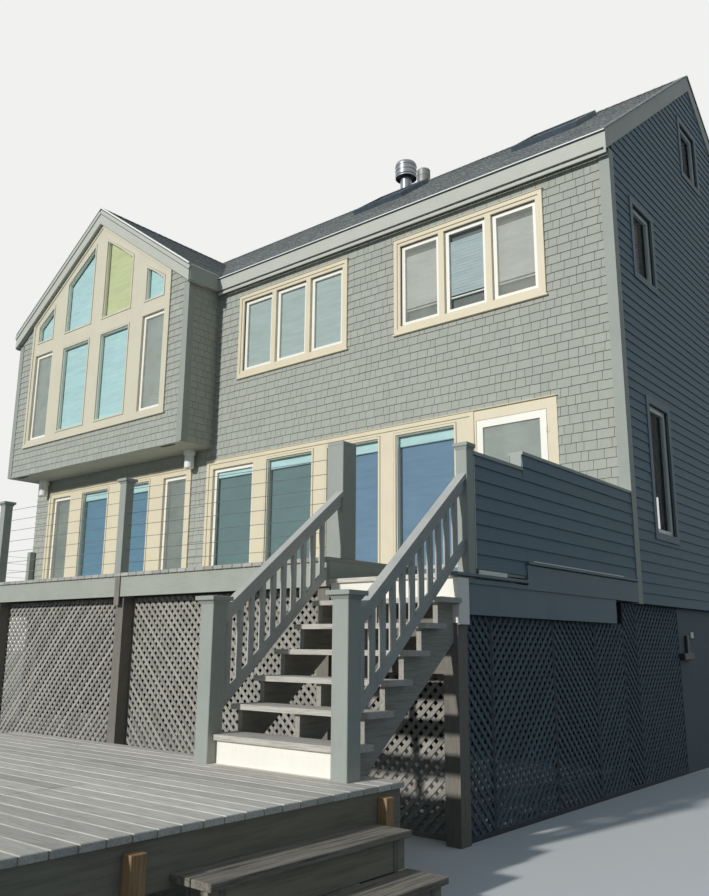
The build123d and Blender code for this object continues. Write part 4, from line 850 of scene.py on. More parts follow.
def cut_off(piece: Piece, place: Vector, away: Vector) -> None:
    """Cuts a piece by a plane and closes the cut; what lies on the side that away points to is dropped."""
    pick(piece, Pick.FACES, lambda middle, normal: True)
    bpy.ops.mesh.bisect(plane_co=place, plane_no=away, use_fill=True, clear_outer=True, clear_inner=False)
    close_edit()


@dataclass
class WallCladding:
    """Cedar shingles on the front and the bay, clapboards on the gables, the back and the deck's side screen."""

    shingles: CourseWork = field(
        default_factory=lambda: CourseWork(0.122, 0.030, 0.019, 0.003, (0.085, 0.235), 0.005, 0.003))
    boards: CourseWork = field(
        default_factory=lambda: CourseWork(0.124, 0.022, 0.018, 0.004, (2.4, 4.4), 0.002))
    wide_boards: CourseWork = field(
        default_factory=lambda: CourseWork(0.126, 0.022, 0.018, 0.004, (3.6, 4.4), 0.002))

    def front_holes(self) -> list[Rect]:
        """Openings of the front wall in the house's X and Z, taken in to half the width of their casings."""
        s, c = SHELL, SHELL.casing / 2
        triples = [(m - 1.13 - c, m + 1.13 + c, 3.84 - c, 5.13 + c) for m in s.triples]
        columns = s.columns
        rooms = [(columns[0][0] - s.jamb - c, columns[3][1] + s.jamb + c), (s.room_left - c, s.door_left + c)]
        lights = [(a, b, s.unit_sill - c, s.unit_head + c) for a, b in rooms]
        return triples + lights + [(s.door_left, -0.97 + c, -0.5, s.unit_head + c)]

    def wall_face(self, x0: float, x1: float, z0: float, z1: float, y: float) -> Face:
        """An upright face seen from the front, with the front wall's openings."""
        holes = [(h[0] - x0, h[1] - x0, h[2] - z0, h[3] - z0) for h in self.front_holes()]
        return Face(DATUM.at(x0, y, z0), X, Z, -Y, x1 - x0, z1 - z0, holes)

    def build_front(self) -> None:
        """Shingles of the main front wall, beside and under the bay."""
        s = SHELL
        right = self.wall_face(s.bay_right, -s.corner + 0.02, s.wall_low + 0.02, s.roof_edge - s.roof_depth, 0.0)
        left = self.wall_face(s.left, s.bay_right, s.wall_low + 0.02, s.bay_low, 0.0)
        pieces = [self.shingles.cover("front_right", right, 11), self.shingles.cover("front_left", left, 12)]
        finish_piece(joined("front_wall_shingles", pieces), Surfaces.shingle, "grey_shingle_wall")

    def build_bay(self) -> None:
        """Shingles of the bay's front and its two sides."""
        s = SHELL
        low = s.bay_low - 0.012
        front = Face(DATUM.at(s.left, -s.bay_reach, low), X, Z, -Y, s.bay_width, 3.6)
        inner = s.bay_frame
        front.holes = [(s.bay_width / 2 - inner + 0.05, s.bay_width / 2 + inner - 0.05,
                        s.bay_sill - low + 0.05, 4.0)]
        piece = self.shingles.cover("bay_front", front, 21)
        for side in (-1, 1):
            under = s.bay_eave - s.bay_depth + 0.01
            away = Vector((side * s.bay_pitch, 0.0, 1.0)).normalized()
            cut_off(piece, DATUM.at(s.bay_middle + side * s.bay_width / 2, 0, under), away)
        height = s.bay_eave - s.bay_depth - s.bay_low
        run = s.bay_reach - s.corner + 0.02
        right = Face(DATUM.at(s.bay_right, -run, s.bay_low), Y, Z, X, run, height)
        left = Face(DATUM.at(s.left, 0.0, s.bay_low), -Y, Z, -X, run, height)
        sides = [self.shingles.cover("bay_right", right, 22), self.shingles.cover("bay_left", left, 23)]
        finish_piece(joined("bay_shingles", [piece] + sides), Surfaces.shingle, "grey_shingle_wall")

    def gable_holes(self) -> list[Rect]:
        """Casings of a gable's three windows in the house's Y and Z, taken in to half their width."""
        c = 0.045
        # Middle, width, sill and head of each window.
        windows = ((1.095, 0.83, 0.515, 2.345), (1.02, 0.84, 3.93, 5.10), (3.41, 0.88, 6.50, 7.58))
        return [(m - w / 2 + c, m + w / 2 - c, low + c, high - c) for m, w, low, high in windows]

    def build_gables(self) -> None:
        """Clapboards of both gable walls, cut under their rake boards."""
        s = SHELL
        low = s.wall_low + 0.01
        edge = s.corner - 0.02
        under = s.roof_edge - s.roof_depth + 0.035
        for name, x, way in (("right_gable_clapboards", 0.0, 1), ("left_gable_clapboards", s.left, -1)):
            start_y = edge if way > 0 else s.depth - edge
            end = s.depth - edge
            if way > 0:
                holes = [(a - start_y, b - start_y, c - low, d - low) for a, b, c, d in self.gable_holes()]
                face = Face(DATUM.at(x, start_y, low), Y, Z, X, end - start_y, s.ridge - low, holes)
            else:
                holes = [(start_y - b, start_y - a, c - low, d - low) for a, b, c, d in self.gable_holes()]
                face = Face(DATUM.at(x, start_y, low), -Y, Z, -X, start_y, s.ridge - low, holes)
            piece = self.boards.cover(name, face, 31 + way)
            cut_off(piece, DATUM.at(x, 0, under), Vector((0, -s.pitch, 1)).normalized())
            cut_off(piece, DATUM.at(x, s.depth, under), Vector((0, s.pitch, 1)).normalized())
            finish_piece(piece, Surfaces.shade_darkened_clapboard, "grey_clapboard_wall")

    def build_back(self) -> None:
        """Clapboards of the back wall."""
        s = SHELL
        low, edge, c = s.wall_low + 0.01, s.corner - 0.02, 0.055
        holes = []
        # Sills of the two floors' windows, three to a floor.
        for sill in (0.95, 3.67):
            for share in (0.2, 0.5, 0.8):
                middle = s.length * share - edge
                holes.append((middle - 0.75 - c, middle + 0.75 + c, sill - c - low, sill + 1.3 + c - low))
        face = Face(DATUM.at(-edge, s.depth, low), -X, Z, Y, s.length - 2 * edge,
                    s.roof_edge - s.roof_depth - low, holes)
        finish_piece(self.boards.cover("back_clapboards", face, 41), Surfaces.back_clapboard,
                     "grey_clapboard_wall")

    def build_screen(self) -> None:
        """Clapboards on both faces of the deck's side screen, lower beside the landing."""
        front, step, wall = -3.495, -2.63, -0.026
        low, step_top, top, deck = -0.15, 0.82, 0.975, -0.02
        length, first, height = wall - front, step - front, top - low
        # -1.0 and 9.0 reach past the face's edges.
        steps = [(-1.0, first, step_top - low, 9.0), (first, 9.0, -1.0, deck - low)]
        out = Face(DATUM.at(0.0, front, low), Y, Z, X, length, height, steps)
        back = [(length - h[1], length - h[0], h[2], h[3]) for h in steps]
        inner = Face(DATUM.at(-0.115, wall, low), -Y, Z, -X, length, height, back)
        pieces = [self.wide_boards.cover("screen_out", out, 51), self.wide_boards.cover("screen_in", inner, 55)]
        finish_piece(joined("screen_clapboards", pieces), Surfaces.shade_darkened_clapboard, "grey_clapboard_wall")

    def build(self) -> None:
        """Builds all the cladding."""
        self.build_front()
        self.build_bay()
        self.build_gables()
        self.build_back()
        self.build_screen()


@dataclass
class RoofCovering:
    """Asphalt tabs on the main slopes and the bay's slopes, ridge caps and drip edges."""

    tabs: CourseWork = field(
        default_factory=lambda: CourseWork(0.143, 0.03, 0.008, 0.002, (0.305, 0.305), 0.007, 0.001, True))
    under_bay: float = 0.10
    rake_lift: float = -0.006
    cap_length: float = 0.172
    skylights: tuple[float, float] = (-5.45, -1.93)
    skylight_y: float = 2.65
    skylight_half: tuple[float, float] = (0.55, 0.535)

    def slope(self, x0: float, x1: float, back: bool) -> Face:
        """One main slope as a face, with u along the eave and v up the slope."""
        s = SHELL
        rise = Vector((0, -1 if back else 1, s.pitch)).normalized()
        out = Vector((0, s.pitch if back else -s.pitch, 1)).normalized()
        y = s.depth + s.eave_out if back else -s.eave_out
        height = (s.depth / 2 + s.eave_out) * math.hypot(1, s.pitch) - 0.02
        z = s.roof_edge - s.pitch * s.eave_out
        if back:
            return Face(DATUM.at(x1, y, z), -X, rise, out, x1 - x0, height)
        return Face(DATUM.at(x0, y, z), X, rise, out, x1 - x0, height)

    def build_main(self) -> None:
        """Tabs of the front and back slopes, open at the skylights and under the bay's roof."""
        s = SHELL
        front = self.slope(s.left, 0.0, False)
        stretch = math.hypot(1, s.pitch)

        def under_bay(v: float) -> list[tuple[float, float]]:
            """The run of a course that the bay's roof hides."""
            y = v / stretch - s.eave_out
            half = (s.bay_ridge - s.roof_edge - s.pitch * y) / s.bay_pitch - self.under_bay
            if half <= 0:
                return []
            middle = s.bay_middle - s.left
            return [(max(middle - half, 0.0) if half < s.bay_width / 2 - 0.1 else -0.1, middle + half)]

        front.shut = under_bay
        v = (self.skylight_y + s.eave_out) * stretch
        wide, tall = self.skylight_half
        front.holes = [(x - s.left - wide, x - s.left + wide, v - tall, v + tall) for x in self.skylights]
        pieces = [self.tabs.cover("front_slope", front, 61),
                  self.tabs.cover("back_slope", self.slope(s.left, 0, True), 62)]
        finish_piece(joined("main_roof_tabs", pieces), Surfaces.roofing, "roof_shingle")

    def build_bay(self) -> None:
        """Tabs of the bay's two slopes, cut along the valleys."""
        s = SHELL
        tip = s.bay_tip
        low = s.bay_top(s.bay_middle + tip)
        front = s.bay_roof_front
        run = s.depth / 2 - front
        height = tip * math.hypot(1, s.bay_pitch) - 0.015
        slopes = []
        for side in (-1, 1):
            rise = Vector((-side, 0, s.bay_pitch)).normalized()
            out = Vector((side * s.bay_pitch, 0, 1)).normalized()
            x = s.bay_middle + side * tip
            if side > 0:
                face = Face(DATUM.at(x, front, low), Y, rise, out, run, height)
            else:
                face = Face(DATUM.at(x, front + run, low), -Y, rise, out, run, height)
            piece = self.tabs.cover("bay_slope", face, 65 + side)
            corner = DATUM.at(s.bay_middle + side * s.bay_width / 2,
                              (s.bay_eave - s.roof_edge) / s.pitch + 0.08, 0)
            peak = DATUM.at(s.bay_middle, (s.bay_ridge - s.roof_edge) / s.pitch + 0.08, 0)
            along = peak - corner
            away = Vector((side * along.y, -side * along.x, 0)).normalized()
            if away.y < 0:
                away = -away
            cut_off(piece, corner, away)
            slopes.append(piece)
        finish_piece(joined("bay_roof_tabs", slopes), Surfaces.roofing, "roof_shingle")

    def build_caps(self) -> None:
        """Overlapping caps on the main ridge and the bay's ridge."""
        s = SHELL
        model = unit_model()
        pick(model, Pick.EDGES, lambda middle, way: abs(way.y) > 0.9)
        bpy.ops.mesh.subdivide(number_cuts=1)
        pick(model, Pick.VERTS, lambda place, normal: abs(place.y - 0.5) < 0.01)
        bpy.ops.transform.translate(value=(0, 0, 0.4))
        close_edit()
        points = np.array([v.co[:] for v in model.data.vertices])
        faces = [tuple(p.vertices) for p in model.data.polygons]
        deselect()
        bpy.data.objects.remove(model, do_unlink=True)
        draw = random.Random(71)

        def caps(name: str, start: Vector, way: Vector, across: Vector, run: float, pitch: float,
                 half: float) -> Piece:
            """A line of bent caps; each lifts its lower end over the one before."""
            along, aside, up = points[:, 0], points[:, 1] - 0.5, points[:, 2]
            lift = np.where(along > 0.5, 0.002, 0.010)
            thick = np.where(up > (0.5 + np.where(np.abs(aside) < 0.01, 0.4, 0)), lift + 0.006, lift)
            crown = -np.abs(aside) * 2 * half * pitch
            places, shapes, tones = [], [], []
            for index in range(int(run / self.tabs.pitch)):
                local = (np.outer(along * self.cap_length + index * self.tabs.pitch, way)
                         + np.outer(aside * 2 * half, across) + np.outer(crown + thick + 0.012, Z))
                places += (local + np.array(start)).tolist()
                shapes += [tuple(c + len(points) * index for c in f) for f in faces]
                tones += [draw.random()] * len(points)
            return toned_piece(name, places, shapes, tones)

        main = caps("main_caps", DATUM.at(s.left + 0.01, s.depth / 2, s.ridge), X, Y,
                    s.length - 0.05, s.pitch, 0.14)
        bay_run = (s.bay_ridge - s.roof_edge) / s.pitch - s.bay_roof_front - 0.05
        bay = caps("bay_caps", DATUM.at(s.bay_middle, s.bay_roof_front + 0.02, s.bay_ridge), Y, X,
                   bay_run, s.bay_pitch, 0.13)
        finish_piece(joined("ridge_caps", [main, bay]), Surfaces.roofing, "roof_shingle", "ridge_cap")

    def strip(self, name: str, start: Vector, end: Vector, out: Vector, up: Vector, thick: float,
              tall: float) -> Piece:
        """A straight strip of folded sheet or thin board from one place to another."""
        run = end - start
        along = run.normalized()
        if along.cross(out).dot(up) < 0:
            start, along = end, -along
        return plank_stamp(0.0015).copies(name, [start[:]], [(run.length, thick, tall)], Matrix((along, out, up)),
                                          [0.5])

    def build_drips(self) -> None:
        """White drip edges and stepped upper boards on the bay's rakes, and both along the main eave, with dark
        strips below them as painted shadow lines.
        """
        s = SHELL
        tip = s.bay_tip
        front = s.bay_roof_front
        drips, bands, lines = [], [], []
        for side in (-1, 1):
            up = Vector((side * s.bay_pitch, 0, 1)).normalized()
            low = DATUM.at(s.bay_middle + side * tip, front, s.bay_top(s.bay_middle + tip) + self.rake_lift)
            high = DATUM.at(s.bay_middle, front, s.bay_ridge + self.rake_lift)
            for kept, out, down, thick, tall in ((drips, 0.022, 0.0, 0.026, 0.03),
                                                 (bands, 0.014, 0.105, 0.014, 0.07),
                                                 (lines, 0.004, 0.118, 0.004, 0.009),
                                                 (lines, 0.008, 0.02, 0.008, 0.012)):
                shift = Y * out + Z * down
                kept.append(self.strip("rake_strip", low - shift, high - shift, Y, up, thick, tall))
        z = s.roof_edge - s.pitch * s.eave_out
        left, right = s.bay_middle + tip, 0.03
        for kept, down, out, tall in ((drips, 0.006, 0.020, 0.016), (lines, 0.024, 0.010, 0.018)):
            a, b = (DATUM.at(x, -s.eave_out - out, z - down) for x in (left, right))
            kept.append(self.strip("eave_strip", a, b, Y, Z, out, tall))
        for side in (-1, 1):
            x = s.bay_middle + side * tip
            a, b = (DATUM.at(x - 0.002 if side > 0 else x + 0.002, y, s.bay_top(x) - 0.014)
                    for y in (front + 0.03, -s.eave_out))
            drips.append(self.strip("side_drip", a, b, X * side, Z, 0.022, 0.018))
        finish_piece(joined("roof_drip_edges", drips), Surfaces.drip, "white_paint")
        finish_piece(joined("roof_stepped_boards", bands), Surfaces.grey_level, "grey_paint")
        finish_piece(joined("roof_shadow_gaps", lines), Surfaces.felt_and_painted_shade, "roof_shingle")

    def build_soffits(self) -> None:
        """Boards that close the bay's side eaves and the main eave, and the panel under the bay."""
        s = SHELL
        tip = s.bay_tip
        front = s.bay_roof_front + 0.032
        starts, sizes = [], []
        top = s.bay_top(s.bay_middle + tip)
        for side in (-1, 1):
            x = s.bay_middle + side * tip
            starts.append(DATUM.at(x - 0.016 if side > 0 else x - 0.012, front, top - 0.30)[:])
            sizes.append((0.028, -s.eave_out + 0.03 - front, 0.285))
            wall = s.bay_middle + side * s.bay_width / 2
            starts.append(DATUM.at(min(x, wall), front, top - 0.298)[:])
            sizes.append((abs(x - wall), -s.eave_out + 0.12 - front, 0.014))
        starts.append(DATUM.at(s.bay_right + 0.09, -0.09, 5.424)[:])
        sizes.append((-s.bay_right - 0.09, 0.064, 0.012))
        sides = plank_stamp(0.002).copies("bay_eave_boards", starts, sizes, UPRIGHT, [0.5] * len(starts))
        finish_piece(sides, Surfaces.grey_eave, "grey_paint")
        low = DATUM.at(s.left, -s.bay_reach + 0.002, s.bay_low - 0.012)
        starts, sizes = [low[:]], [(s.bay_width, s.bay_reach - 0.006, 0.012)]
        panel = plank_stamp(0.002).copies("bay_soffit_panel", starts, sizes, UPRIGHT, [0.5])
        finish_piece(panel, Surfaces.grey_level, "grey_paint")
        # Vent slots painted dark: painted shade in the openings.
        vents = [DATUM.at(x, -s.bay_reach + 0.05, s.bay_low - 0.016)[:]
                 for x in (s.left + 0.25, s.bay_right - 0.62)]
        slots = plank_stamp(0.001).copies("soffit_vents", vents, [(0.36, 0.05, 0.005)] * 2, UPRIGHT, [0.5] * 2)
        finish_piece(slots, Surfaces.felt_and_painted_shade, "grey_paint")

    def build_rake_edges(self) -> None:
        """Strips of shingle that lap over the gables' rake boards."""
        s = SHELL
        stamp = plank_stamp(0.001)
        starts, sizes, axes = [], [], []
        length = (s.depth / 2 + s.eave_out) * math.hypot(1, s.pitch)
        for x in (s.left - 0.05, -0.10):
            for way in (1, -1):
                rise = Vector((0, way, s.pitch)).normalized()
                out = Vector((0, -way * s.pitch, 1)).normalized()
                y = -s.eave_out if way > 0 else s.depth + s.eave_out
                place = DATUM.at(x, y, s.roof_edge - s.pitch * s.eave_out) + out * 0.0105 - rise * 0.01
                if way > 0:
                    starts.append(place[:])
                    axes.append([X[:], rise[:], out[:]])
                else:
                    starts.append((place + X * 0.15)[:])
                    axes.append([(-X)[:], rise[:], out[:]])
                sizes.append((0.15, length + 0.01, 0.012))
        edges = stamp.copies("rake_edge_shingles", starts, sizes, axes, [0.3, 0.5, 0.4, 0.6])
        finish_piece(edges, Surfaces.roofing, "roof_shingle")

    def build(self) -> None:
        """Builds the whole roof covering."""
        self.build_main()
        self.build_bay()
        self.build_caps()
        self.build_drips()
        self.build_soffits()
        self.build_rake_edges()


@dataclass(frozen=True)
class Light:
    """The hole of one light, in X and Z of the house, with the height of each end of its head."""

    x0: float
    x1: float
    z0: float
    head0: float
    head1: float

    def span(self, z: float) -> tuple[float, float]:
        """The run of the hole at a height, shorter above the low end of a sloping head."""
        if z <= min(self.head0, self.head1) or self.head0 == self.head1:
            return self.x0, self.x1
        share = min(max((z - self.head0) / (self.head1 - self.head0), 0.0), 1.0)
        cut = self.x0 + share * (self.x1 - self.x0)
        return (cut, self.x1) if self.head1 > self.head0 else (self.x0, cut)


@dataclass
class WindowDressing:
    """Raised bands and stops round the lights, sills and drip caps, and the blinds behind the glass."""

    band: float = 0.062
    proud: float = 0.016
    casing_out: float = 0.026
    stop: float = 0.011
    stop_face: float = -0.010
    glass_face: float = 0.046
    behind: float = 0.060
    unit_pitch: float = 1.315
    unit_width: float = 0.99
    slat: float = 0.052
    slat_pitch: float = 0.048

    def light(self, x0: float, x1: float, z0: float, z1: float) -> Light:
        """A light with a level head."""
        return Light(x0, x1, z0, z1, z1)

    def bay_uppers(self) -> list[Light]:
        """The four upper lights of the bay, whose heads follow the roof."""
        s = SHELL
        return [Light(a, b, 5.425, s.bay_top(a) - 0.58, s.bay_top(b) - 0.58) for a, b in s.columns]

    def units(self) -> list[tuple[float, float]]:
        """The four lights of the main floor beside the bay."""
        start = SHELL.room_left + 0.095
        return [(start + self.unit_pitch * i, start + self.unit_pitch * i + self.unit_width) for i in range(4)]

    def ring(self, name: str, low: Vector, high: Vector, band: float, proud: float, apex: float = 0.0,
             lift: float = 0.0) -> Piece:
        """A raised band round a front opening.

        Args:
            name: the piece's name.
            low: its lower left corner on the face it stands on.
            high: its upper right corner.
            band: its width.
            proud: how far it stands out.
            apex: how far the middle of its head rises.
            lift: how far one end of its head rises, the right end when positive.

        Returns:
            The band as a piece.
        """
        deselect()
        middle, size = (low + high) / 2, high - low
        bpy.ops.mesh.primitive_plane_add(size=1.0, location=middle, rotation=(math.pi / 2, 0, 0))
        piece = bpy.context.object
        piece.name = name
        piece.scale = (size.x, size.z, 1)
        settle(piece)
        if apex:
            pick(piece, Pick.EDGES, lambda place, way: place.z > high.z - 0.001 and abs(way.x) > 0.9)
            bpy.ops.mesh.subdivide(number_cuts=1)
            pick(piece, Pick.VERTS, lambda place, way: place.z > high.z - 0.001 and abs(place.x - middle.x) < 0.01)
            bpy.ops.transform.translate(value=(0, 0, apex))
            close_edit()
        if lift:
            pick(piece, Pick.VERTS,
                 lambda place, way: place.z > high.z - 0.001 and (place.x - middle.x) * lift > 0)
            bpy.ops.transform.translate(value=(0, 0, abs(lift)))
            close_edit()
        pick(piece, Pick.FACES, lambda place, way: True)
        bpy.ops.mesh.inset(thickness=band, depth=0)
        bpy.ops.mesh.delete(type="FACE")
        bpy.ops.mesh.select_all(action="SELECT")
        bpy.ops.mesh.extrude_region_move(TRANSFORM_OT_translate={"value": (0, -proud, 0)})
        bpy.ops.mesh.select_all(action="SELECT")
        bpy.ops.mesh.normals_make_consistent(inside=False)
        close_edit()
        round_edges(piece, min(0.003, proud / 3), 1, lambda place, way: place.y < low.y - proud * 0.9)
        return piece

    def build_bands(self) -> None:
        """Bands on the upper triple windows, the bay's frame and the main floor's frames."""
        s, c, y = SHELL, SHELL.casing, -self.casing_out
        columns = s.columns
        rooms = [(columns[0][0] - s.jamb - c / 2, columns[3][1] + s.jamb + c / 2),
                 (s.room_left - c / 2, s.door_left)]
        spans = [(m - 1.24, m + 1.24, 3.73, 5.24) for m in s.triples]
        spans += [(a, b, s.unit_sill - c, s.unit_head + c) for a, b in rooms]
        rings = [self.ring("band", DATUM.at(a, y, low), DATUM.at(b, y, high), self.band, self.proud)
                 for a, b, low, high in spans]
        finish_piece(joined("casing_bands", rings), Surfaces.cream, "cream_trim")
        half = s.bay_frame
        eave = s.bay_top(s.bay_middle + half) - s.bay_depth
        apex = s.bay_ridge - s.bay_depth - eave
        front = -s.bay_reach - self.casing_out
        bay = self.ring("bay_casing_band", DATUM.at(s.bay_middle - half, front, s.bay_sill),
                        DATUM.at(s.bay_middle + half, front, eave), self.band, self.proud, apex)
        finish_piece(bay, Surfaces.cream_bay, "cream_trim")

    def rings_round(self, name: str, face: float, lights: Sequence[Light], y: float, out: float, band: float,
                    proud: float, surface: Finish) -> None:
        """Lays a ring round each light.

        Args:
            name: the piece's name.
            face: Y of the wall's face.
            lights: the holes.
            y: where the rings start, behind the wall's face when positive.
            out: how far their outer edge lies outside the hole, inside when negative.
            band: their width.
            proud: how thick they are towards the front.
            surface: their finish.
        """
        rings = []
        for one in lights:
            head = min(one.head0, one.head1) + out
            rings.append(self.ring("ring", DATUM.at(one.x0 - out, face + y, one.z0 - out),
                                   DATUM.at(one.x1 + out, face + y, head),
                                   band, proud, lift=one.head1 - one.head0))
        finish_piece(joined(name, rings), surface, "cream_trim")

    def build_stops(self) -> None:
        """Slim stops that hold each fixed pane, a raised moulding round it and a thin dark ring outside that, a
        painted shadow line.
        """
        s = SHELL
        columns, units = s.columns, self.units()
        low, high = s.unit_sill + 0.032, s.unit_head - 0.032
        main = [self.light(a, b, low, high) for a, b in units[1:] + columns[1:3]]
        bay = [self.light(a, b, 3.355, 5.065) for a, b in columns[1:3]] + self.bay_uppers()
        for name, face, lights, surface in (("main", 0.0, main, Surfaces.cream),
                                            ("bay", -s.bay_reach, bay, Surfaces.cream_bay)):
            self.rings_round(name + "_glazing_stops", face, lights, self.glass_face, 0.0, self.stop,
                             self.glass_face - self.stop_face, Surfaces.white)
            self.rings_round(name + "_light_mouldings", face, lights, -self.casing_out, 0.036, 0.034, 0.009,
                             surface)
            # A thin dark ring outside each moulding: a painted shadow line.
            self.rings_round(name + "_painted_shadow_rings", face, lights, -self.casing_out, 0.043, 0.007, 0.0012,
                             Surfaces.shadow_line_paint)

    def build_sills(self) -> None:
        """Thin caps over the window heads that throw off rain, and sill strips under the frames."""
        s = SHELL
        half = s.bay_frame
        heads = [(m - 1.26, m + 1.26, -0.055, 0.0, 5.24, 5.252) for m in s.triples]
        heads.append((s.bay_right - 0.1, -0.84, -0.055, 0.0,
                      s.unit_head + s.casing, s.unit_head + s.casing + 0.012))
        sills = [(m - 1.26, m + 1.26, -0.052, 0.0, 3.704, 3.73) for m in s.triples]
        laid("window_drip_caps_and_sills", 0.003, heads + sills, Surfaces.cream, "cream_trim")
        sill = (s.bay_middle - half - 0.02, s.bay_middle + half + 0.02, -s.bay_reach - 0.052, -s.bay_reach,
                s.bay_sill - 0.026, s.bay_sill)
        laid("bay_sill", 0.003, [sill], Surfaces.cream_bay, "cream_trim")

    def slats(self, name: str, surface: Finish, lights: Sequence[Light], y: float) -> None:
        """Level blinds: thin slats on edge behind each light, cut to the slope of its head."""
        tilt = Vector((0, 0.06, 0.998)).normalized()
        out = X.cross(tilt)
        starts, sizes, tones = [], [], []
        draw = random.Random(name)
        for one in lights:
            z = one.z0
            while z + 0.01 < max(one.head0, one.head1):
                x0, x1 = one.span(z + self.slat)
                if x1 - x0 > 0.03:
                    starts.append(DATUM.at(x0 + 0.003, y, z)[:])
                    sizes.append((x1 - x0 - 0.006, min(self.slat, max(one.head0, one.head1) - z), 0.0016))
                    tones.append(draw.random())
                z += self.slat_pitch
        blinds = plank_stamp(0.0004).copies(name, starts, sizes, Matrix((X, tilt, out)), tones)
        finish_piece(blinds, surface, "white_paint")

    def boards(self, name: str, surface: Finish, rects: Sequence[Rect], y: float) -> None:
        """Stiff boards behind lights, blackout blinds or boards painted as room shade and sky reflection, given as
        X and Z spans, 6 mm thick with eased edges.
        """
        laid(name, 0.002, [(a, b, y, y + 0.006, low, high) for a, b, low, high in rects], surface, "white_paint")

    def build_upper(self) -> None:
        """Blinds of the two triple windows, a slate board behind the right one painted as the dark room and its
        reflection, and the mesh in front of the right one's outer sashes.
        """
        left, right = ([(m + 0.785 * i - 0.345, m + 0.785 * i + 0.345) for i in (-1, 0, 1)] for m in SHELL.triples)
        low, high = 3.84, 5.13
        self.boards("left_triple_shade_boards", Surfaces.blind_green, [(a, b, low, high) for a, b in left],
                    self.behind)
        self.slats("right_triple_slats", Surfaces.blind_pale, [self.light(*right[1], low + 0.28, low + 1.12)],
                   self.behind)
        lace = [(a, b, low + 0.28, low + 1.12) for a, b in (right[0], right[2])]
        self.boards("right_triple_pale_boards", Surfaces.blind_white, lace, self.behind)
        self.boards("right_triple_painted_room_shade", Surfaces.slate_room_shade, [(a, b, low, high) for a, b in right], 0.10)
        rails = [(a + 0.002, b - 0.002, self.behind - 0.002, self.behind + 0.016, low + 0.235, low + 0.258)
                 for a, b in right]
        laid("right_triple_bottom_rails", 0.003, rails, Surfaces.white, "white_paint")
        panels = [(a + 0.064, b - 0.064, 0.030, 0.033, low + 0.064, high - 0.064) for a, b in (right[0], right[2])]
        laid("triple_mesh_panels", 0.001, panels, Surfaces.mesh, "white_paint")

    def build_bay(self) -> None:
        """Blinds behind the bay's lights, and the mesh of its two sashes."""
        s = SHELL
        y = -s.bay_reach + self.behind
        columns, uppers = s.columns, self.bay_uppers()
        tall = [self.light(a, b, 3.358, 5.063) for a, b in columns[1:3]]
        self.slats("bay_slats", Surfaces.blind_aqua, tall + [uppers[0], uppers[1], uppers[3]], y)
        self.slats("bay_lime_slats", Surfaces.blind_lime, [uppers[2]], y)
        narrow = [columns[0], columns[3]]
        self.boards("bay_sash_shade_boards", Surfaces.blind_green, [(a, b, 3.36, 5.06) for a, b in narrow], y)
        panels = [(a + 0.002, b - 0.002, y - 0.03, y - 0.027, 3.357, 5.063) for a, b in narrow]
        laid("bay_mesh_panels", 0.001, panels, Surfaces.mesh, "white_paint")

    def build_main(self) -> None:
        """Boards behind the main floor's lights painted as the dark rooms and the sky's reflection, blinds rolled
        at their heads, mesh of sashes and door.
        """
        s = SHELL
        columns, units = s.columns, self.units()
        low, high = s.unit_sill + 0.034, s.unit_head - 0.034
        y = 0.10
        for name, surface, spans in (
                ("main_painted_room_shade_green", Surfaces.green_room_shade, units[:2] + [columns[0], columns[3]]),
                ("main_painted_sky_reflection_blue", Surfaces.blue_sky_reflection, units[2:]),
                ("bay_room_painted_sky_reflection", Surfaces.teal_sky_reflection, columns[1:3])):
            self.boards(name, surface, [(a + 0.002, b - 0.002, low, high) for a, b in spans], y)
        rolls = [(a + 0.004, b - 0.004, self.behind, self.behind + 0.028, high - 0.16, high - 0.002)
                 for a, b in units + columns[1:3]]
        laid("rolled_blinds", 0.008, rolls, Surfaces.blind_aqua, "white_paint")
        panels = [(a + 0.002, b - 0.002, 0.030, 0.033, low + 0.064, high - 0.064)
                  for a, b in (columns[0], columns[3])]
        laid("sash_mesh_panels", 0.001, panels, Surfaces.mesh, "white_paint")
        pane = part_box("door_pane")
        a, b = (corner - Vector((DATUM.x, DATUM.y, DATUM.z)) for corner in pane)
        door = [(a.x + 0.002, b.x - 0.002, a.y - 0.006, a.y - 0.003, a.z + 0.002, b.z - 0.002)]
        laid("door_mesh_panel", 0.001, door, Surfaces.mesh, "white_paint", "door")
        behind = [(a.x + 0.002, b.x - 0.002, b.y + 0.002, b.y + 0.007, a.z + 0.002, b.z - 0.002)]
        laid("door_shade_board", 0.001, behind, Surfaces.blind_green, "white_paint", "door")

    def build(self) -> None:
        """Builds all the window dressing."""
        self.build_bands()
        self.build_stops()
        self.build_sills()
        self.build_upper()
        self.build_bay()
        self.build_main()


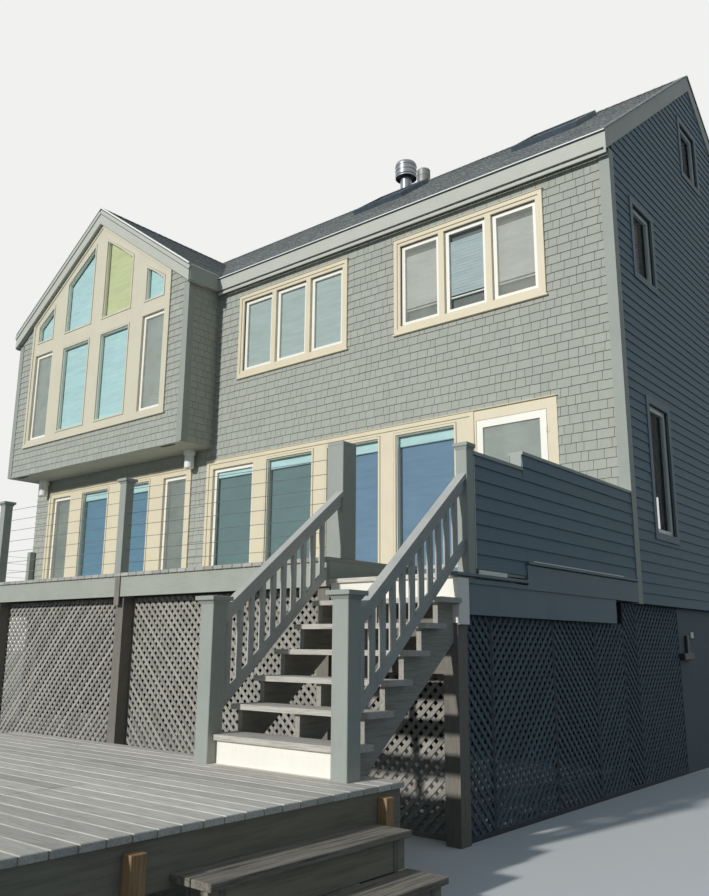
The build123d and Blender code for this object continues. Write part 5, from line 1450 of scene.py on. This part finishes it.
@dataclass
class BoardWork:
    """Boards of the deck, the landing, the lower platform and its steps."""

    pitch: float = 0.14
    gap: float = 0.007
    thick: float = 0.038
    rounding: float = 0.004

    def lay(self, name: str, x0: float, x1: float, y0: float, y1: float, top: float, along_x: bool, seed: int,
            joints: bool = False) -> Piece:
        """Lays boards over a rectangle.

        Args:
            name: the piece's name.
            x0, x1, y0, y1: the rectangle in the house's measures.
            top: the boards' top.
            along_x: True where the boards run along X.
            seed: start of the random tones.
            joints: True where boards are butted in their length.

        Returns:
            The boards as one object.
        """
        draw = random.Random(seed)
        across = (y1 - y0) if along_x else (x1 - x0)
        count = max(round(across / self.pitch), 1)
        pitch = across / count
        starts, sizes, tones = [], [], []
        for index in range(count):
            low = index * pitch + self.gap / 2
            ends = [x0, x1] if along_x else [y0, y1]
            if joints:
                ends.insert(1, ends[0] + (ends[1] - ends[0]) * draw.choice((0.3, 0.5, 0.7)))
            for a, b in zip(ends, ends[1:]):
                place = (a, y0 + low) if along_x else (x0 + low, a)
                size = (b - a - 0.003, pitch - self.gap) if along_x else (pitch - self.gap, b - a - 0.003)
                starts.append(DATUM.at(*place, top - self.thick)[:])
                sizes.append((*size, self.thick))
                tones.append(min(max(draw.gauss(0.5, 0.28), 0.0), 1.0))
        return plank_stamp(self.rounding).copies(name, starts, sizes, UPRIGHT, tones)

    def build(self) -> None:
        """Builds every boarded surface."""
        s = SHELL
        first, going, rise = 0.275, 0.255, 0.212
        front = self.lay("front", s.left, -1.31, -3.84, -0.002, 0.0, False, 81)
        finish_piece(front, Surfaces.deck_along_y, "deck_boards", "deck_surface").name = "deck_front_boards"
        landing = [self.lay("a", -1.31, 0.0, -3.833, -3.5, -0.2, True, 82),
                   self.lay("b", -1.31, -0.115, -3.5, -2.63, -0.2, True, 83),
                   self.lay("c", -1.31, -0.115, -2.63, -0.026, 0.0, True, 84)]
        finish_piece(joined("landing_boards", landing), Surfaces.deck_along_x, "deck_boards", "deck_surface")
        low = self.lay("lower_platform_boards", -4.35, 0.30, -7.7, -4.9, s.platform, True, 85, True)
        finish_piece(low, Surfaces.deck_along_x, "deck_boards", "platform_boards")
        treads = [self.lay("step", first + going * i, first + 0.295 + going * i, -6.76, -5.20,
                           s.platform - rise * (i + 1), False, 86 + i) for i in (0, 1)]
        finish_piece(joined("platform_step_boards", treads), Surfaces.step_boards, "deck_boards",
                     "platform_boards")
        aprons = [(0.50, 0.525, -6.74, -5.22, s.platform - 2 * rise, s.platform - 0.252),
                  (0.755, 0.78, -6.74, -5.22, s.ground, s.platform - 0.464)]
        laid("platform_step_aprons", 0.003, aprons, Surfaces.timber_side, "bare_timber")
        ledges = [(-0.02, 0.045, -3.84, -2.63, -0.222, -0.195), (-0.02, 0.045, -2.63, -0.03, -0.048, -0.02)]
        laid("landing_ledges", 0.004, ledges, Surfaces.grey_ledge_shaded, "grey_paint")
        laid("eave_fascia_board", 0.001, [(s.bay_right + 0.1, 0.03, -0.12, -0.098, 5.376, 5.4226)],
             Surfaces.grey_level, "grey_paint")
        laid("screen_end_strip", 0.001, [(0.004, 0.022, -3.512, -3.496, -0.15, 0.80)], Surfaces.grey_level,
             "grey_paint")
        # White strips under the screen: painted light, standing for sunlit parts seen through the gap beneath it.
        laid("screen_foot_painted_light_strips", 0.002,
             [(0.021, 0.025, -3.47, -3.0, -0.194, -0.156), (0.021, 0.025, -2.5, -0.4, -0.019, -0.008)],
             Surfaces.white, "white_paint")
        laid("wall_bracket", 0.006,
             [(-0.04, 0.0, 1.57, 1.65, -0.86, -0.62), (-0.04, 0.03, 1.36, 1.70, -0.92, -0.84)],
             Surfaces.black, "dark_metal")
        laid("wall_plate", 0.004, [(-0.04, -0.025, 1.80, 1.90, -0.65, -0.575)], Surfaces.white, "white_paint")
        stubs = [(0.277, 0.345, -7.04, -6.95, -2.20, -1.70), (0.277, 0.345, -5.16, -5.08, -2.25, -1.69)]
        laid("platform_post_stubs", 0.004, stubs, Surfaces.stub, "bare_timber")
        laid("post_head_board", 0.003, [(-0.143, 0.028, -3.792, -3.777, -0.597, -0.447)], Surfaces.white,
             "white_paint")
        laid("fascia_cover_strip", 0.004, [(-4.515, -4.425, -3.832, -3.815, -0.36, -0.04)], Surfaces.timber_up,
             "bare_timber")


@dataclass
class LatticeWork:
    """Crossed laths in panels under the deck and beside the landing."""

    lath: float = 0.036
    spacing: float = 0.0694
    lath_thick: float = 0.009
    rail: float = 0.04
    rail_thick: float = 0.026
    joint: float = 0.022

    def panel(self, u0: float, u1: float, v0: float, v1: float, place: Callable[[float, float], Vector],
              along: Vector, out: Vector, first: int, seed: int) -> tuple[list, list, list, list]:
        """Works out the laths of one panel.

        Args:
            u0, u1, v0, v1: the panel along its wall and up.
            place: turns panel measures into a place in the row frame, at the panel's back face.
            along: the direction of u.
            out: the direction the panel faces.
            first: the slant of the back layer, 1 or -1.
            seed: start of the random tones.

        Returns:
            Starts, sizes, axes and tones for a plank stamp.
        """
        draw = random.Random(seed)
        starts, sizes, axes, tones = [], [], [], []
        inset = 0.008
        for layer, slant in enumerate((first, -first)):
            way = (along * slant + Z).normalized()
            side = out.cross(way)
            reach = self.spacing * math.sqrt(2)
            foot = u0 - (v1 - v0) if slant > 0 else u0
            while foot < (u1 if slant > 0 else u1 + v1 - v0):
                a, b = (foot, v0), (foot + slant * (v1 - v0), v1)
                t0 = max(0.0, ((u0 + inset - a[0]) if slant > 0 else (a[0] - u1 + inset)) / (v1 - v0),
                         inset / (v1 - v0))
                t1 = min(1.0, ((u1 - inset - a[0]) if slant > 0 else (a[0] - u0 - inset)) / (v1 - v0),
                         1 - inset / (v1 - v0))
                if t1 - t0 > 0.02:
                    start = place(a[0] + (b[0] - a[0]) * t0, v0 + (v1 - v0) * t0)
                    length = (t1 - t0) * (v1 - v0) * math.sqrt(2)
                    lift = 0.005 + layer * self.lath_thick
                    starts.append((start + out * lift - side * self.lath / 2)[:])
                    sizes.append((length, self.lath, self.lath_thick))
                    axes.append([way[:], side[:], out[:]])
                    tones.append(draw.random())
                foot += reach
        return starts, sizes, axes, tones

    def frame_strips(self, u0: float, u1: float, v0: float, v1: float, place: Callable[[float, float], Vector],
                     along: Vector, out: Vector) -> tuple[list, list, list, list]:
        """Works out the four strips round one panel, in the same form."""
        rails = [(u0, u1, v0, v0 + self.rail, self.rail_thick),
                 (u0, u1, v1 - self.rail, v1, self.rail_thick * 0.5)]
        rails += [(a, a + self.joint, v0 + self.rail, v1 - self.rail, self.rail_thick * 0.9)
                  for a in (u0, u1 - self.joint)]
        starts = [place(a0, b0)[:] for a0, a1, b0, b1, thick in rails]
        sizes = [(a1 - a0, b1 - b0, thick) for a0, a1, b0, b1, thick in rails]
        return starts, sizes, [[along[:], Z[:], out[:]]] * 4, [0.5] * 4

    def wall(self, name: str, spans: Sequence[tuple[float, float, float]], place: Callable[[float, float], Vector],
             along: Vector, out: Vector, surface: Finish, edging: Finish, node: str, seed: int,
             first: int) -> None:
        """Fills a run of panels with laths, the back layer slanting the other way in every second one.

        Args:
            name: the start of the pieces' names.
            spans: start, end and top of each panel.
            place: turns panel measures into a place in the row frame.
            along: the direction of the run.
            out: the direction it faces.
            surface: the laths' finish.
            edging: the strips' finish.
            node: the frame node that the pieces stand for.
            seed: start of the random tones.
            first: the slant of the back layer in the first panel, 1 or -1.
        """
        stamp = plank_stamp(0.0015)
        laths: tuple[list, list, list, list] = ([], [], [], [])
        strips: tuple[list, list, list, list] = ([], [], [], [])
        for index, (u0, u1, v1) in enumerate(spans):
            made = self.panel(u0, u1, SHELL.ground, v1, place, along, out, first * (-1) ** index, seed + index)
            edges = self.frame_strips(u0, u1, SHELL.ground, v1, place, along, out)
            for kept, new in ((laths, made), (strips, edges)):
                for column, values in zip(kept, new):
                    column.extend(values)
        finish_piece(stamp.copies(name + "_laths", *laths), surface, "lattice_timber", node)
        finish_piece(stamp.copies(name + "_strips", *strips), edging, "lattice_timber", node)

    def build(self) -> None:
        """Builds the front and side lattices."""
        top = -0.268
        front = [(SHELL.left + 0.063, -9.85, top), (-9.85, -7.16, top), (-7.16, -4.40, top), (-4.40, -1.31, top),
                 (-1.31, -0.14, -0.99)]
        self.wall("front_lattice", front, lambda u, v: DATUM.at(u, -3.611, v), X, -Y, Surfaces.lattice,
                  Surfaces.timber_up, "front_lattice", 91, -1)
        side = [(-3.637, -3.2, -0.525), (-3.2, -2.06, -0.525), (-2.06, -1.12, -0.525), (-1.12, -0.37, -0.525),
                (-0.37, 0.0, -0.29), (0.0, 1.37, -0.29)]
        # The side's edging strips are painted dark: painted shade of the gaps between panels.
        self.wall("side_lattice", side, lambda u, v: DATUM.at(-0.066, u, v), Y, X, Surfaces.shaded_lattice_side,
                  Surfaces.lattice_gap_shade, "side_lattice", 97, 1)


@dataclass
class PostWork:
    """Square posts with a necking mould and a flat cap, for the railing and the stair."""

    cap_thick: float = 0.038
    cap_rise: float = 0.006

    def post(self, name: str, x: float, y: float, size: float, bottom: float, top: float, out: float) -> Piece:
        """One capped post.

        Args:
            name: the piece's name.
            x, y: its middle in the house's measures.
            size: its side.
            bottom, top: its lowest and highest place.
            out: how far the cap overhangs.

        Returns:
            The post as one object.
        """
        half = size / 2
        shaft = block(name, DATUM.at(x - half, y - half, bottom),
                      DATUM.at(x + half, y + half, top - self.cap_thick))
        round_edges(shaft, 0.004, 1, lambda place, way: abs(way.z) > 0.9)
        pieces = [shaft]
        if out:
            neck = half + out * 0.5
            mould = block("neck", DATUM.at(x - half - 0.002, y - half - 0.002, top - 1.7 * self.cap_thick),
                          DATUM.at(x + half + 0.002, y + half + 0.002, top - self.cap_thick))
            low = DATUM.at(x, y, top - self.cap_thick)
            pick(mould, Pick.FACES, lambda place, way: way.z > 0.9)
            bpy.ops.transform.resize(value=(neck / (half + 0.002), neck / (half + 0.002), 1), center_override=low)
            close_edit()
            pieces.append(mould)
        wide = half + out
        cap = block("cap", DATUM.at(x - wide, y - wide, top - self.cap_thick),
                    DATUM.at(x + wide, y + wide, top - self.cap_rise))
        pick(cap, Pick.FACES, lambda place, way: way.z > 0.9)
        bpy.ops.mesh.inset(thickness=wide * 0.55, depth=0)
        bpy.ops.transform.translate(value=(0, 0, self.cap_rise))
        close_edit()
        round_edges(cap, 0.004, 2, lambda place, way:
                    max(abs(place.x - DATUM.x - x), abs(place.y - DATUM.y - y)) > wide * 0.8)
        pieces.append(cap)
        return joined(name, pieces)

    def build(self) -> None:
        """Builds the railing's posts and the stair's newels."""
        s = SHELL
        line = -3.84 + 0.0565
        xs = [-4.47 - 2.69 * i for i in range(3)] + [s.left + 0.0565 + 0.025]
        posts = [self.post("rail", x, line, 0.113, 0.0, 1.09, 0.028) for x in xs]
        posts.append(self.post("rail", xs[-1], -0.0825, 0.113, 0.0, 1.09, 0.0))
        finish_piece(joined("railing_posts", posts), Surfaces.grey_post, "grey_paint", "rail_posts")
        newels = [self.post("newel", x, -5.164, 0.14, s.platform, -0.412, 0.034) for x in (-1.306, 0.018)]
        newels.append(self.post("newel", -1.408, -3.552, 0.196, 0.0, 1.112, 0.0))
        newels.append(self.post("newel", -0.016, -3.596, 0.108, -0.2, 0.902, 0.017))
        finish_piece(joined("stair_newels", newels), Surfaces.grey_post, "grey_paint", "newel_posts")


@dataclass
class RoofFittings:
    """The ribbed flue with its drum cap and the short vent beside it."""

    flue_x: float = -6.04
    vent_x: float = -5.575
    y: float = 3.96
    flue_radius: float = 0.125
    cap_radius: float = 0.235

    def turned(self, name: str, x: float, profile: Sequence[tuple[float, float]]) -> Piece:
        """Turns a profile of radius and height round an upright axis."""
        places = [DATUM.at(x + radius, self.y, z)[:] for radius, z in profile]
        piece = piece_from(name, places, [(i, i + 1) for i in range(len(places) - 1)], [])
        pick(piece, Pick.VERTS, lambda place, way: True)
        bpy.ops.mesh.spin(steps=40, angle=2 * math.pi, center=DATUM.at(x, self.y, 0), axis=(0, 0, 1))
        bpy.ops.mesh.select_all(action="SELECT")
        bpy.ops.mesh.remove_doubles(threshold=0.0005)
        bpy.ops.mesh.normals_make_consistent(inside=False)
        close_edit()
        bpy.ops.object.shade_smooth_by_angle(angle=math.radians(35))
        return piece

    def build(self) -> None:
        """Builds the flue and the vent."""
        ridge = SHELL.ridge
        top = ridge + 0.821
        low = ridge - 0.36
        r, c = self.flue_radius, self.cap_radius
        lip = top - 0.36
        profile = [(0.0005, low), (r, low), (r, lip + 0.05), (r + 0.03, lip + 0.06), (c - 0.012, lip + 0.06),
                   (c - 0.012, lip)]
        profile += [(c - 0.004, lip), (c - 0.004, lip + 0.03)]
        for rib in range(3):
            z = lip + 0.045 + rib * 0.105
            profile += [(c - 0.010, z), (c, z + 0.008), (c, z + 0.022), (c - 0.010, z + 0.030),
                        (c - 0.010, z + 0.055)]
        profile += [(c - 0.010, top - 0.03), (c - 0.03, top), (0.0005, top)]
        flue = self.turned("flue", self.flue_x, profile)
        v = ridge + 0.491
        vent = self.turned("vent", self.vent_x,
                           [(0.0005, low), (0.075, low), (0.075, v - 0.42), (0.11, v - 0.38),
                            (0.14, v - 0.34), (0.14, v - 0.17), (0.134, v - 0.165), (0.14, v - 0.16),
                            (0.14, v - 0.015), (0.128, v), (0.0005, v)])
        finish_piece(flue, Surfaces.flue, "flue_metal", "flue_and_vent").name = "ribbed_flue"
        finish_piece(vent, Surfaces.vent, "flue_metal", "flue_and_vent").name = "short_vent"


@dataclass
class Lamps:
    """Two weatherproof lamps under the bay's front corners: a round collar over a rounded jar."""

    radius: float = 0.086
    collar: float = 0.1048
    low: float = 2.24
    xs: tuple[float, float] = (-12.54, -7.84)
    y: float = -0.14

    def drum(self, middle: Vector, radius: float, low: float, high: float) -> Piece:
        """An upright round body between two heights."""
        deselect()
        bpy.ops.mesh.primitive_cylinder_add(vertices=32, radius=radius, depth=high - low,
                                            location=(middle.x, middle.y, (low + high) / 2))
        made = bpy.context.object
        settle(made)
        return made

    def build(self) -> None:
        """Builds both lamps."""
        pieces = []
        for x in self.xs:
            middle = DATUM.at(x, self.y, self.low)
            top = DATUM.z + SHELL.bay_low
            jar = self.drum(middle, self.radius, middle.z, top - 0.09)
            pick(jar, Pick.FACES, lambda place, way: way.z < -0.9)
            bpy.ops.mesh.inset(thickness=self.radius * 0.3, depth=0)
            bpy.ops.mesh.extrude_region_move(TRANSFORM_OT_translate={"value": (0, 0, 0.006)})
            close_edit()
            round_edges(jar, 0.024, 4, lambda place, way:
                        place.z < middle.z + 0.001 and (place - middle).xy.length > self.radius * 0.97)
            collar = self.drum(middle, self.collar, top - 0.10, top)
            round_edges(collar, 0.008, 2, lambda place, way:
                        abs(way.z) < 0.1 and (place - middle).xy.length > self.collar * 0.97)
            pieces += [jar, collar]
        lamps = joined("bay_corner_lamps", pieces)
        make_active(lamps)
        bpy.ops.object.shade_smooth_by_angle(angle=math.radians(35))
        finish_piece(lamps, Surfaces.lamp, "lamp_plastic", "bay_lamps")


@dataclass
class Stage:
    """Plain pale floor, soft light and the camera."""

    place: tuple[float, float, float] = (3.706, -9.578, -0.779)
    yaw: float = 39.46
    pitch: float = 13.15
    roll: float = 0.45
    lens: float = 34.03
    ambient: float = 0.2
    sun: float = 2.8
    sun_way: tuple[float, float, float] = (0.14, 0.92, -0.38)
    backdrop: str = "#F1F1EF"
    floor: str = "#E4E4E1"
    bounce: str = "#6C767C"

    def build_floor(self) -> None:
        """A pale floor that takes the house's shadow."""
        deselect()
        bpy.ops.mesh.primitive_plane_add(size=240.0, location=(0, 0, -0.001))
        floor = bpy.context.object
        floor.name = "pale_floor"
        Finish("pale_studio_floor", self.floor, 0.9).onto(floor)
        tree = floor.data.materials[0].node_tree
        shader = next(n for n in tree.nodes if n.type == "BSDF_PRINCIPLED")
        seen = add_node(tree, "LightPath").outputs["Is Camera Ray"]
        tint = add_node(tree, "MixRGB", {"Fac": seen},
                        {"Color1": linear(self.bounce), "Color2": linear(self.floor)})
        tree.links.new(tint.outputs["Color"], shader.inputs["Base Color"])

    def build_light(self) -> None:
        """A large soft lamp from the front, a little to the left, and even light all round."""
        deselect()
        way = Vector(self.sun_way)
        bpy.ops.object.light_add(type="SUN", rotation=way.to_track_quat("-Z", "Y").to_euler())
        lamp = bpy.context.object
        lamp.data.energy = self.sun
        lamp.data.angle = math.radians(2.5)
        world = bpy.data.worlds.new("even_light")
        bpy.context.scene.world = world
        world.use_nodes = True
        tree = world.node_tree
        back = next(n for n in tree.nodes if n.type == "BACKGROUND")
        path = add_node(tree, "LightPath")
        seen = add_node(tree, "Math", {0: path.outputs["Is Camera Ray"], 1: path.outputs["Is Glossy Ray"]},
                        operation="MAXIMUM").outputs[0]
        shown = add_node(tree, "Math", {0: seen, 1: path.outputs["Is Transmission Ray"]},
                         operation="MAXIMUM").outputs[0]
        tint = add_node(tree, "MixRGB", {"Fac": shown},
                        {"Color1": (self.ambient * 0.72, self.ambient * 0.97, self.ambient * 1.22, 1),
                         "Color2": linear(self.backdrop)})
        tree.links.new(tint.outputs["Color"], back.inputs["Color"])

    def build_camera(self) -> None:
        """The camera at the angle of the picture."""
        yaw, pitch, roll = (math.radians(a) for a in (self.yaw, self.pitch, self.roll))
        ahead = Vector((-math.sin(yaw) * math.cos(pitch), math.cos(yaw) * math.cos(pitch), math.sin(pitch)))
        side = Vector((math.cos(yaw), math.sin(yaw), 0))
        up = side.cross(ahead)
        right = side * math.cos(roll) + up * math.sin(roll)
        top = up * math.cos(roll) - side * math.sin(roll)
        deselect()
        spot = DATUM.at(*self.place)
        bpy.ops.object.camera_add(location=spot)
        camera = bpy.context.object
        turn = Matrix((right, top, -ahead)).transposed().to_4x4()
        camera.matrix_world = Matrix.Translation(spot) @ turn
        camera.data.lens = self.lens
        camera.data.sensor_width = 36.0
        camera.data.clip_end = 400.0
        bpy.context.scene.camera = camera

    def build(self) -> None:
        """Builds floor, light and camera."""
        bpy.context.scene.view_settings.view_transform = "Standard"
        self.build_floor()
        self.build_light()
        self.build_camera()


class FrameFinishes:
    """Finishes of the frame's own nodes."""

    choice: dict[str, Finish] = {
        "back_wall": Surfaces.felt_and_painted_shade, "base_walls": Surfaces.base_grey, "bay_front_wall": Surfaces.felt_and_painted_shade,
        "bay_lamps": Surfaces.lamp, "bay_rake_boards": Surfaces.grey_level, "bay_roof": Surfaces.grey_eave,
        "bay_room_windows": Surfaces.cream, "bay_side_walls": Surfaces.felt_and_painted_shade, "bay_window": Surfaces.cream_bay,
        "corner_boards": Surfaces.grey_corner, "deck_fascia": Surfaces.grey_deck,
        "deck_framing": Surfaces.timber_level,
        "deck_posts": Surfaces.timber_up, "deck_surface": Surfaces.deck_along_y, "door_frame": Surfaces.cream,
        "door_handle": Surfaces.bronze, "door_leaf": Surfaces.white, "door_pane": Surfaces.glass,
        "floors": Surfaces.planks, "flue_and_vent": Surfaces.flue, "front_lattice": Surfaces.lattice,
        "front_wall_lower": Surfaces.felt_and_painted_shade, "front_wall_upper": Surfaces.felt_and_painted_shade, "gable_walls": Surfaces.felt_and_painted_shade,
        "house_piles": Surfaces.timber_up, "landing_rim": Surfaces.grey_shade_side, "main_window_wall": Surfaces.cream,
        "newel_posts": Surfaces.grey_post, "plain_window_frames": Surfaces.grey_shade_side,
        "platform_boards": Surfaces.deck_along_x, "platform_skirt": Surfaces.timber_side,
        "platform_supports": Surfaces.timber_up, "rail_cables": Surfaces.steel, "rail_posts": Surfaces.grey_post,
        "ridge_cap": Surfaces.roofing, "riser_boards": Surfaces.white, "roof_back": Surfaces.roofing,
        "roof_front": Surfaces.roofing, "roof_trim": Surfaces.grey_level, "screen_wall": Surfaces.grey_paint,
        "side_lattice": Surfaces.shaded_lattice_side, "skylight_curbs": Surfaces.bronze, "skylight_glass": Surfaces.glass,
        "stair_balustrades": Surfaces.balustrade, "stair_stringers": Surfaces.stringer,
        "stair_treads": Surfaces.deck_along_x, "triple_window_frames": Surfaces.cream,
        "window_glass": Surfaces.glass, "window_sashes": Surfaces.white,
    }

    @classmethod
    def build(cls) -> None:
        """Gives every node its finish."""
        for name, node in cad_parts.items():
            cls.choice[name].onto(node)


def main() -> None:
    """Builds the scene, sub-assembly by sub-assembly."""
    logging.basicConfig(level=logging.INFO, format="%(message)s")
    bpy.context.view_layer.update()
    FrameFinishes.build()
    for part in (Stage(), WallCladding(), RoofCovering(), WindowDressing(), BoardWork(), LatticeWork(), PostWork(),
                 RoofFittings(), Lamps()):
        part.build()
        LOG.info("built %s", type(part).__name__)
    deselect()
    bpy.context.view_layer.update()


if __name__ == "__main__":
    main()
